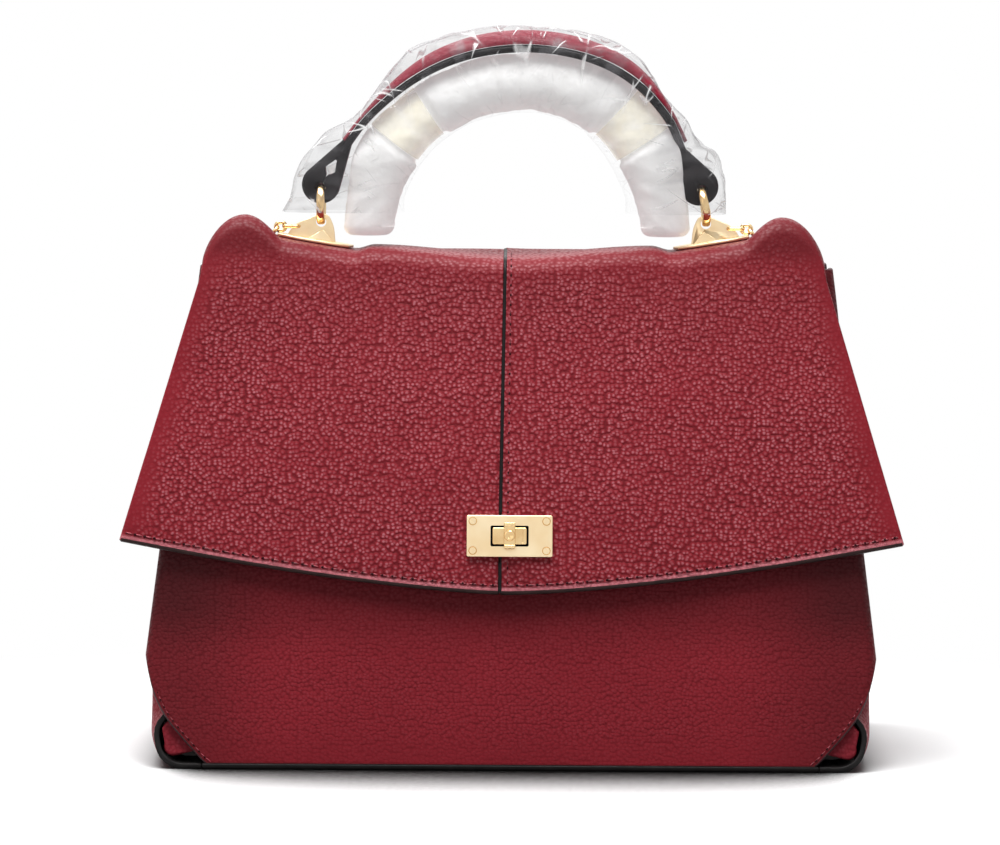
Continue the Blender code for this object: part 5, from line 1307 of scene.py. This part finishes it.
def add_fins():
    for side, hand in HANDS:
        place = fin_place(side)
        upright = place @ Matrix.Rotation(math.pi / 2, 4, "X")
        front = -side * 0.007
        corners = smooth_outline([(0.0, front), (0.028, front), (0.029, -front), (-0.003, -front)], 1)
        plate = slab(hand + "_fin_plate_gold", corners, 0.0, PLATE_THICKNESS, 0.0003, GOLD_PLATE, place)
        carve(plate, smooth_outline(fin_outline(FIN)), -0.0009, 0.0009, GOLD_PLATE, upright, "UNION", 0.0003)
        carve(plate, fin_outline(FACET), -0.0014, 0.0014, GOLD_PLATE, upright, "UNION", 0.0002)
        for middle, radius in ((RING_HOLE, 0.0021), (CHAIN_HOLE, 0.0014)):
            carve(plate, circle(radius, 40, middle), -0.003, 0.003, GOLD_PLATE, upright, round_by=0.00001)
        fit(plate, "flap", "gold_metal", hand + "_fin_plate")
        outline = [(x + 0.0145, y) for x, y in rounded_box(0.013, 0.0055, 0.0015)]
        top = -0.0006 - FLAP_STACK
        backing = slab(hand + "_fin_backing_gold", outline, top - 0.0008, top, 0.0002, GOLD_PLATE, place)
        fit(backing, "flap", "gold_metal", hand + "_fin_backing")
        add_ring(side, hand)
        add_chain(side, hand)


def add_ring(side, hand):
    """A ring of oval wire. The right one leans a little."""
    loops = []
    for turn in turns(96):
        lean = 0.0018 * smooth((RING_RADIUS * math.sin(turn) + 0.0042) / 0.0110) if side > 0 else 0.0
        loop = []
        for around in turns(20):
            out = RING_RADIUS + RING_HALF_WIDTH * math.cos(around)
            x = side * RING_MIDDLE[0] - lean + RING_HALF_DEPTH * signed_power(math.sin(around), 0.7)
            loop.append((x, out * math.cos(turn), RING_MIDDLE[1] + out * math.sin(turn)))
        loops.append(loop)
    fit(tube(hand + "_ring_gold", loops, [GOLD], ring=True), hand + "_ring", "gold_metal", hand + "_ring")


def add_chain(side, hand):
    """Three links from the fin to the slot, and the run that hangs inside."""
    along, up = CHAIN_HOLE
    wire = fin_place(side) @ Vector((along, 0, up))
    for number, (length, drop) in enumerate(CHAIN, 1):
        drop = math.radians(drop)
        heading = Vector((side * math.cos(drop), 0, -math.sin(drop)))
        end = wire + heading * (length - 0.001)
        link = grow(f"{hand}_link_{number}", LINKS, [(0, 0, 0)], Count=1, Pitch=0.0, Length=length, **LINK)
        across = Vector((0, 1, 0))
        if number % 2 == 0:
            across = heading.cross(across)
        turn = upright_turn(across, heading.cross(across), heading)
        link.data.transform(Matrix.Translation((wire + end) / 2) @ turn)
        fit(link, "flap", "gold_metal", f"{hand}_chain_link_{number}")
        wire = end - heading * 0.0013
    tail = grow(hand + "_tail_links", LINKS, [(0, 0, 0)], Count=9, Pitch=0.0037, Length=0.0056, **TAIL_LINK)
    tail.data.transform(Matrix.Translation(end - Vector((0, 0, 0.0010))))
    fit(tail, hand + "_chain_tail", "gold_metal", hand + "_chain_tail")


# Handle

FOOT_TURN = math.radians(58)
LOOP_MIDDLE = (RING_MIDDLE[0], RING_MIDDLE[1] + 0.0079)
HANDLE_APEX = 0.2830
STRAP_EDGE = 0.0014
FOOT_WIDTH, GRIP_WIDTH = 0.0065, 0.0220
# How round the loop is at its end, how far it reaches along the strap, and how round its tip is
STRAP_LOOP = (0.0077, 0.0215, 0.0015)


def handle_half(share):
    """A point of the handle's right half, on a smooth curve from its loop to its apex."""
    x, z = LOOP_MIDDLE
    second = (x - 0.035 * math.cos(FOOT_TURN), z + 0.035 * math.sin(FOOT_TURN))
    weights = ((1 - share) ** 3, 3 * (1 - share) ** 2 * share, 3 * (1 - share) * share**2, share**3)
    return np.array(weights) @ np.array((LOOP_MIDDLE, second, (0.038, HANDLE_APEX), (0.0, HANDLE_APEX)))


def haunch_rise(away):
    """The strap is pushed out by the packing half way up each side."""
    return 0.0016 * smooth((away - 0.012) / 0.022) * (1 - smooth((away - 0.045) / 0.045))


def handle_path(first_share, count):
    """The strap's line from foot to foot, its normals, and how far each point lies from the nearer loop."""
    right = np.array([handle_half(share) for share in np.linspace(first_share, 1.0, count)])
    places = np.concatenate([right, right[-2::-1] * (-1, 1)])
    heading = np.gradient(places, axis=0)
    heading /= lengths(heading)
    normals = np.stack([heading[:, 1], -heading[:, 0]], axis=1)
    away = np.linalg.norm(np.abs(places) - LOOP_MIDDLE, axis=1)
    haunch = np.array([haunch_rise(reach) for reach in away])
    return places + normals * haunch[:, None], normals, away


def leaned(points, shift=0.0):
    """The handle leans a little to its right, more the higher it is, and the packing is also shifted aside."""
    points = np.array(points)
    points[..., 0] += shift + 0.0045 * smooth_array((points[..., 2] - 0.235) / 0.048)
    if not shift:
        low = 1 - np.clip((points[..., 2] - 0.2274) / 0.03, 0, 1)
        points[..., 0] -= 0.0018 * smooth_array(low) * (points[..., 0] > 0.03)
    return points


def handle_width(away):
    return mix(FOOT_WIDTH, GRIP_WIDTH, smooth((away - 0.0105) / 0.036))


def add_strap():
    """The strap with its rounded painted edges and a loop at each end. Its two flat faces are leather."""
    loops = []
    for place, normal, away in zip(*handle_path(0.15, 60)):
        loop = []
        for quarter, (sign_y, sign_up) in enumerate(QUARTERS):
            for step in range(6):
                turn = math.pi / 2 * (quarter + step / 5)
                x, z = place + normal * (sign_up * 0.0001 + STRAP_EDGE * math.sin(turn))
                y = sign_y * (handle_width(away) / 2 - STRAP_EDGE) + STRAP_EDGE * math.cos(turn)
                loop.append((x, y, z))
        loops.append(loop)
    band = tube("handle_strap", leaned(loops), [EDGE, HANDLE_LEATHER], (5, 17))
    for side, aside in ((-1, 0.0), (1, -0.0029)):
        loop = strap_loop(side)
        loop.data.transform(Matrix.Translation((aside, 0, 0)))
        cut(band, loop, "UNION")
    fit(band, "handle", "painted_edge", "handle_band")


def add_cover():
    """The padded cover, flat on the strap and domed above."""
    loops = []
    for place, normal, away in zip(*handle_path(0.19, 74)):
        half_width = handle_width(away) / 2 - 0.0002
        crown = mix(0.0017, 0.0056, smooth((away - 0.016) / 0.050)) - haunch_rise(away) * 0.8
        loop = []
        for turn in np.linspace(0, math.pi, 33):
            x, z = place + normal * (0.0018 + crown * math.sin(turn) ** 0.9)
            loop.append((x, half_width * signed_power(math.cos(turn), 0.85), z))
        loops.append(loop)
    cover = tube("handle_cover_leather", leaned(loops), [HANDLE_LEATHER])
    fit(cover, "handle", "leather", "handle_cover")


def teardrop(radius, reach, tip):
    """A round end that narrows in two straight lines to a small round tip."""
    lean = math.acos((radius - tip) / reach)
    round_turns, tip_turns = np.linspace(lean, 2 * math.pi - lean, 40), np.linspace(-lean, lean, 8)
    end = [(radius * math.cos(turn), radius * math.sin(turn)) for turn in round_turns]
    point = [(reach + tip * math.cos(turn), tip * math.sin(turn)) for turn in tip_turns]

    def straight(near, far):
        return [tuple(mix(near[axis], far[axis], n / 13) for axis in (0, 1)) for n in range(1, 13)]

    return end + straight(end[-1], point[0]) + point + straight(point[-1], end[0])


def loop_hole(side):
    """A round hole close about the ring. On the left the strap's two layers also part in a kite above it."""
    neck, radius = math.radians(8), 0.0018
    aside, down = (0.0011 if side > 0 else 0.0), 0.0012
    back = -aside * math.cos(FOOT_TURN) - down * math.sin(FOOT_TURN)
    over = -aside * math.sin(FOOT_TURN) + down * math.cos(FOOT_TURN)
    hole = []
    for turn in np.linspace(neck, 2 * math.pi - neck, 40):
        hole.append((radius * math.cos(turn) + back, radius * math.sin(turn) + over))
    far = ((0.0045, -0.0002), (0.0068, -0.0023), (0.0115, -0.0003)) if side < 0 else ((back + 0.0016, over),)
    path = np.array([hole[-1], *far])
    passed = path_length(path)
    down_path = []
    for n in range(1, 13):
        down_path.append(tuple(np.interp(passed[-1] * n / 12, passed, path[:, axis]) for axis in (0, 1)))
    end = [(far[-1][0], far[-1][1] * (1 - 2 * n / 7)) for n in range(8)]
    return hole + down_path + end + [(along, -across) for along, across in down_path[::-1]]


def strap_loop(side):
    """The strap's end, folded round the ring, with rounded painted edges."""
    loops = []
    for near, far in zip(loop_hole(side), teardrop(*STRAP_LOOP)):
        middle, half = (np.array(near) + far) / 2, (np.array(far) - near) / 2
        loop = []
        for quarter, (sign_out, sign_y) in enumerate(QUARTERS):
            for step in range(5):
                turn = math.pi / 2 * (quarter + step / 4)
                along, across = middle + half * (sign_out * 0.6 + 0.4 * math.cos(turn))
                x = LOOP_MIDDLE[0] - along * math.cos(FOOT_TURN) - across * math.sin(FOOT_TURN)
                z = LOOP_MIDDLE[1] + along * math.sin(FOOT_TURN) - across * math.cos(FOOT_TURN)
                loop.append((side * x, sign_y * 0.0021 + 0.00115 * math.sin(turn), z))
        loops.append(loop)
    return tube("strap_loop", loops, [EDGE, HANDLE_LEATHER], (9, 19), ring=True)


# Packing

FOAM_SPAN, FOAM_FOOT, FOAM_RISE = 0.0598, 0.2078, 0.0617
FOOT_RADIUS, ROLL_RADIUS, TAPED_RADIUS = 0.0100, 0.0112, 0.0094
TAPE_OUTSIDE, TAPE_INSIDE = 0.0101, 0.0097
PACKING_SHIFT = 0.0014
JOINT_TURN, TAPE_TURN = math.radians(44), math.radians(8)
STRAP_LINE = handle_path(0.1, 120)[0]


def foam_outer_radius(centre, radius, angle):
    """Over the roll the foam is pressed out against the strap, and less so at its feet."""
    room = np.linalg.norm(STRAP_LINE - centre, axis=1).min() - 0.0018
    wanted = min(max(room, radius), radius + 0.0042)
    return mix(radius, wanted, smooth((min(angle, math.pi - angle) - 0.25) / 0.3))


def foam_loop(angle, radius, rough=1.0, lift=0.0, seed=0.0):
    centre = np.array((FOAM_SPAN * math.cos(angle), FOAM_FOOT + FOAM_RISE * math.sin(angle) + lift))
    stretch = foam_outer_radius(centre, radius, angle) / radius
    out = np.array((math.cos(angle) / FOAM_SPAN, math.sin(angle) / FOAM_RISE))
    out /= np.linalg.norm(out)
    loop = []
    for around in turns(64):
        spot = (centre[0], radius * math.sin(around) * 1.1, centre[1] + radius * math.cos(around))
        size = radius + rough * (0.00055 * waves(spot, 0.009, seed) + 0.0003 * waves(spot, 0.0035, seed + 4))
        x, z = centre + out * size * (stretch if math.cos(around) > 0 else 1.0) * math.cos(around)
        loop.append((x, size * math.sin(around), z))
    return loop


def foam_radius(angle):
    """The roll is drawn in under each tape, and a little thinner at its feet."""
    angle = min(angle, math.pi - angle)
    full = mix(FOOT_RADIUS, ROLL_RADIUS, smooth(angle / JOINT_TURN))
    near = abs(angle - JOINT_TURN) / TAPE_TURN
    return mix(TAPED_RADIUS, full, smooth((near - 1.08) / 0.35))


def add_foam():
    gap = 0.0003 / FOAM_RISE
    end_round = 0.0038
    for name, side in (("foam_right", 1), ("foam_left", -1)):
        loops = []
        for turn in np.linspace(0, math.pi / 2, 9):
            radius = FOOT_RADIUS - end_round * (1 - math.sin(turn))
            loops.append(foam_loop(0.0, radius, lift=end_round * (1 - math.cos(turn)), seed=side))
        for angle in np.linspace(0.0041 / FOAM_RISE, JOINT_TURN - gap, 51):
            loops.append(foam_loop(angle, foam_radius(angle), seed=side))
        add_roll(name, np.array(loops) * (side, 1, 1))
    angles = np.linspace(JOINT_TURN + gap, math.pi - JOINT_TURN - gap, 110)
    add_roll("foam_middle", [foam_loop(angle, foam_radius(angle), seed=7) for angle in angles])
    angles = np.linspace(JOINT_TURN - TAPE_TURN, JOINT_TURN + TAPE_TURN, 26)
    over = np.array([foam_loop(angle, TAPE_OUTSIDE, rough=0.6, seed=11) for angle in angles])
    under = np.array([foam_loop(angle, TAPE_INSIDE, rough=0.6, seed=11) for angle in angles])
    for name, side in (("tape_right", 1), ("tape_left", -1)):
        walls = [leaned(wall * (side, 1, 1), PACKING_SHIFT) for wall in (over, under)]
        fit(double_wall(name + "_wound", *walls, TAPE), "handle", "tape", name)


def add_roll(name, loops):
    roll = tube(name + "_roll", leaned(loops, PACKING_SHIFT), [FOAM], sharp=70)
    fit(roll, "handle", "foam", name)


# The film's outer line: degrees up from a foot, and the reach from the middle between the feet, in millimetres
RIGHT_FILM = (
    (0, 88.8), (6, 88.6), (11, 87.0), (13.5, 84.8), (16, 80.4), (20.7, 77.9),
    (30, 73.9), (37.5, 72.4), (50, 73.6), (64.6, 72.9), (80, 70.7), (90, 70.0),
)
LEFT_FILM = (
    (0, 91.5), (6, 90.2), (13.4, 86.2), (18.5, 82.8), (24, 77.0), (30, 74.1),
    (45, 75.8), (51, 77.2), (58, 75.0), (69, 72.2), (80, 70.7), (90, 70.0),
)
FILM_THICKNESS, FILM_HALF_DEPTH = 0.00015, 0.0135


def film_inner(angle):
    """How far out the film's inner line lies: an arch just inside the foam's, met by a line at that angle."""
    span, rise = FOAM_SPAN - 0.0123, FOAM_RISE - 0.0123
    drop = (FILM_FOOT - FOAM_FOOT) / rise
    along, up = math.cos(angle) / span, math.sin(angle) / rise
    square = along**2 + up**2
    return (math.sqrt((up * drop) ** 2 + square * (1 - drop**2)) - up * drop) / square


def crinkle(x, y, z):
    """Sharp valleys and ridges of crushed film, in metres."""
    height = 0.0
    for size, depth, seed in ((0.019, 0.0013, 1.0), (0.0085, 0.0006, 6.0)):
        height += depth * (abs(waves((x * 0.7, y * 1.3, z * 0.8), size, seed)) * 2.2 - 0.5)
    return height


def film_loop(angle, inset_by, drop=0.0, flare=0.0):
    """The film lies close to the strap, but stands out in a fold above each foot, and more so on the left."""
    degrees = math.degrees(angle)
    degrees, outline = (degrees, RIGHT_FILM) if degrees < 90 else (180 - degrees, LEFT_FILM)
    outer = np.interp(degrees, *zip(*outline)) / 1000 - 0.0012 - inset_by + flare
    inner = film_inner(angle) + inset_by
    depth = FILM_HALF_DEPTH - inset_by
    loop = []
    for around in turns(120, start=0.5):
        across, deep = (signed_power(part, 2 / 3) for part in (math.cos(around), math.sin(around)))
        reach = (outer + inner) / 2 + (outer - inner) / 2 * across
        y = depth * deep
        push = crinkle(reach * math.cos(angle), y, FILM_FOOT + reach * math.sin(angle))
        push *= mix(0.35, 1.0, (across + 1) / 2)
        reach += push * across
        x = reach * math.cos(angle) + PACKING_SHIFT * (1 - across) / 2
        loop.append((x, y + push * deep, FILM_FOOT + reach * math.sin(angle) - drop))
    return loop


def film_wall(inset_by):
    """Loops from foot to foot. The two feet go straight down, and the left one widens as it goes."""
    loops = [film_loop(0.0, inset_by, 0.0009 * n) for n in range(6, 0, -1)]
    loops += [film_loop(angle, inset_by) for angle in np.linspace(0.0, math.pi, 170)]
    loops += [film_loop(math.pi, inset_by, 0.0009 * n, 0.0005 * n) for n in range(1, 7)]
    return leaned(loops)


def add_film():
    film = double_wall("crinkled_film", film_wall(0.0), film_wall(FILM_THICKNESS), FILM)
    fit(film, "handle", "film", "handle_film")


# Stage


def add_floor():
    """A white table that fades into the white behind it, with a painted soft shadow close about the bag."""
    mesh = bpy.data.meshes.new("floor")
    mesh.from_pydata([(-9, -6, 0), (9, -6, 0), (9, 40, 0), (-9, 40, 0)], [], [(0, 1, 2, 3)])
    floor = new_object("floor", mesh)
    keep_place(floor)
    made = Material("white_table", 0.6, Specular_IOR_Level=0.1)
    white = made.blend(made.noise(400), (0.86, 0.86, 0.86, 1), (0.89, 0.89, 0.895, 1))
    # Painted shadow: ambient occlusion darkens the table near the bag, and only faintly at its sides.
    near = made.out("ShaderNodeAmbientOcclusion", {"Distance": 0.12}, "AO", samples=16)
    aside = abs(made.axes(made.place)[0])
    shadow = made.spread(near, 0.58, 0.86, 1.0, 0.0) * made.spread(aside, 0.12, 0.158, 1.0, 0.08)
    shaded = made.blend(shadow, white, (0, 0, 0, 1))
    made.put(Base_Color=made.blend(made.seen(), (0.25, 0.25, 0.25, 1), shaded))
    away = made.vector_maths("MULTIPLY", made.place, (1.0, 1.6, 1.0))
    far = made.spread(made.vector_maths("LENGTH", away, output="Value"), 0.24, 0.42) * made.seen()
    glow = made.out("ShaderNodeEmission", {"Color": (1, 1, 1, 1), "Strength": 1.0})
    table = Output(made, made.shader.outputs[0])
    mixed = made.out("ShaderNodeMixShader", {0: far, 1: table, 2: glow})
    made.give(made.tree.nodes["Material Output"].inputs["Surface"], mixed)
    mesh.materials.append(made.material)


def add_world():
    """White where it is seen, and a dim cold light for the rest."""
    world = bpy.data.worlds.new("studio")
    bpy.context.scene.world = world
    world.use_nodes = True
    made = Tree(world.node_tree)
    dim = made.tree.nodes["Background"]
    made.give(dim.inputs["Color"], (0.97, 0.97, 1.0, 1))
    made.give(dim.inputs["Strength"], 0.06)
    white = made.out("ShaderNodeBackground", {"Color": (1, 1, 1, 1), "Strength": 1.0})
    mixed = made.out("ShaderNodeMixShader", {0: made.seen(), 1: Output(made, dim.outputs[0]), 2: white})
    made.give(made.tree.nodes["World Output"].inputs[0], mixed)


def add_lamp(name, place, aim, size, power):
    lamp = bpy.data.lights.new(name, "AREA")
    lamp.shape = "RECTANGLE"
    lamp.size, lamp.size_y = size
    lamp.energy = power
    obj = new_object(name, lamp)
    obj.location = place
    obj.rotation_euler = (Vector(aim) - Vector(place)).to_track_quat("-Z", "Y").to_euler()


SENSOR_MM = 36
FOCAL_PIXELS = 4217.9
PHOTO_PIXELS = 1000


def add_camera():
    camera = bpy.data.cameras.new("photo_camera")
    camera.sensor_width = SENSOR_MM
    camera.lens = FOCAL_PIXELS * SENSOR_MM / PHOTO_PIXELS
    camera.clip_end = 30
    obj = new_object("photo_camera", camera)
    heading, look_down, roll = math.radians(0.168), math.radians(90 - 5.643), math.radians(0.33)
    turn = Matrix.Rotation(heading, 4, "Z") @ Matrix.Rotation(look_down, 4, "X")
    obj.matrix_world = Matrix.Translation((0, -1.70, 0.30)) @ turn @ Matrix.Rotation(roll, 4, "Z")
    bpy.context.scene.camera = obj


add_floor()
add_world()
add_lamp("top_softbox", (-0.15, -0.30, 1.35), (0, 0, 0.1), (1.3, 0.7), 35)
add_lamp("front_softbox", (-0.9, -1.6, 1.1), (0, 0, 0.14), (1.0, 1.0), 1.5)
add_lamp("back_softbox", (0.0, 1.2, 1.3), (0, 0, 0.0), (1.6, 1.0), 10)
add_camera()
add_panel("front_panel", 1)
add_panel("back_panel", -1)
for side, hand in HANDS:
    add_gusset(hand + "_gusset", side)
add_base()
for facing, depth_word in ((1, "front"), (-1, "back")):
    for side, hand in HANDS:
        add_tab(f"{depth_word}_{hand}_corner_tab", side, facing)
add_lining()
add_flap()
add_lock()
add_fins()
add_strap()
add_cover()
add_foam()
add_film()

bpy.context.scene.view_settings.view_transform = "Standard"
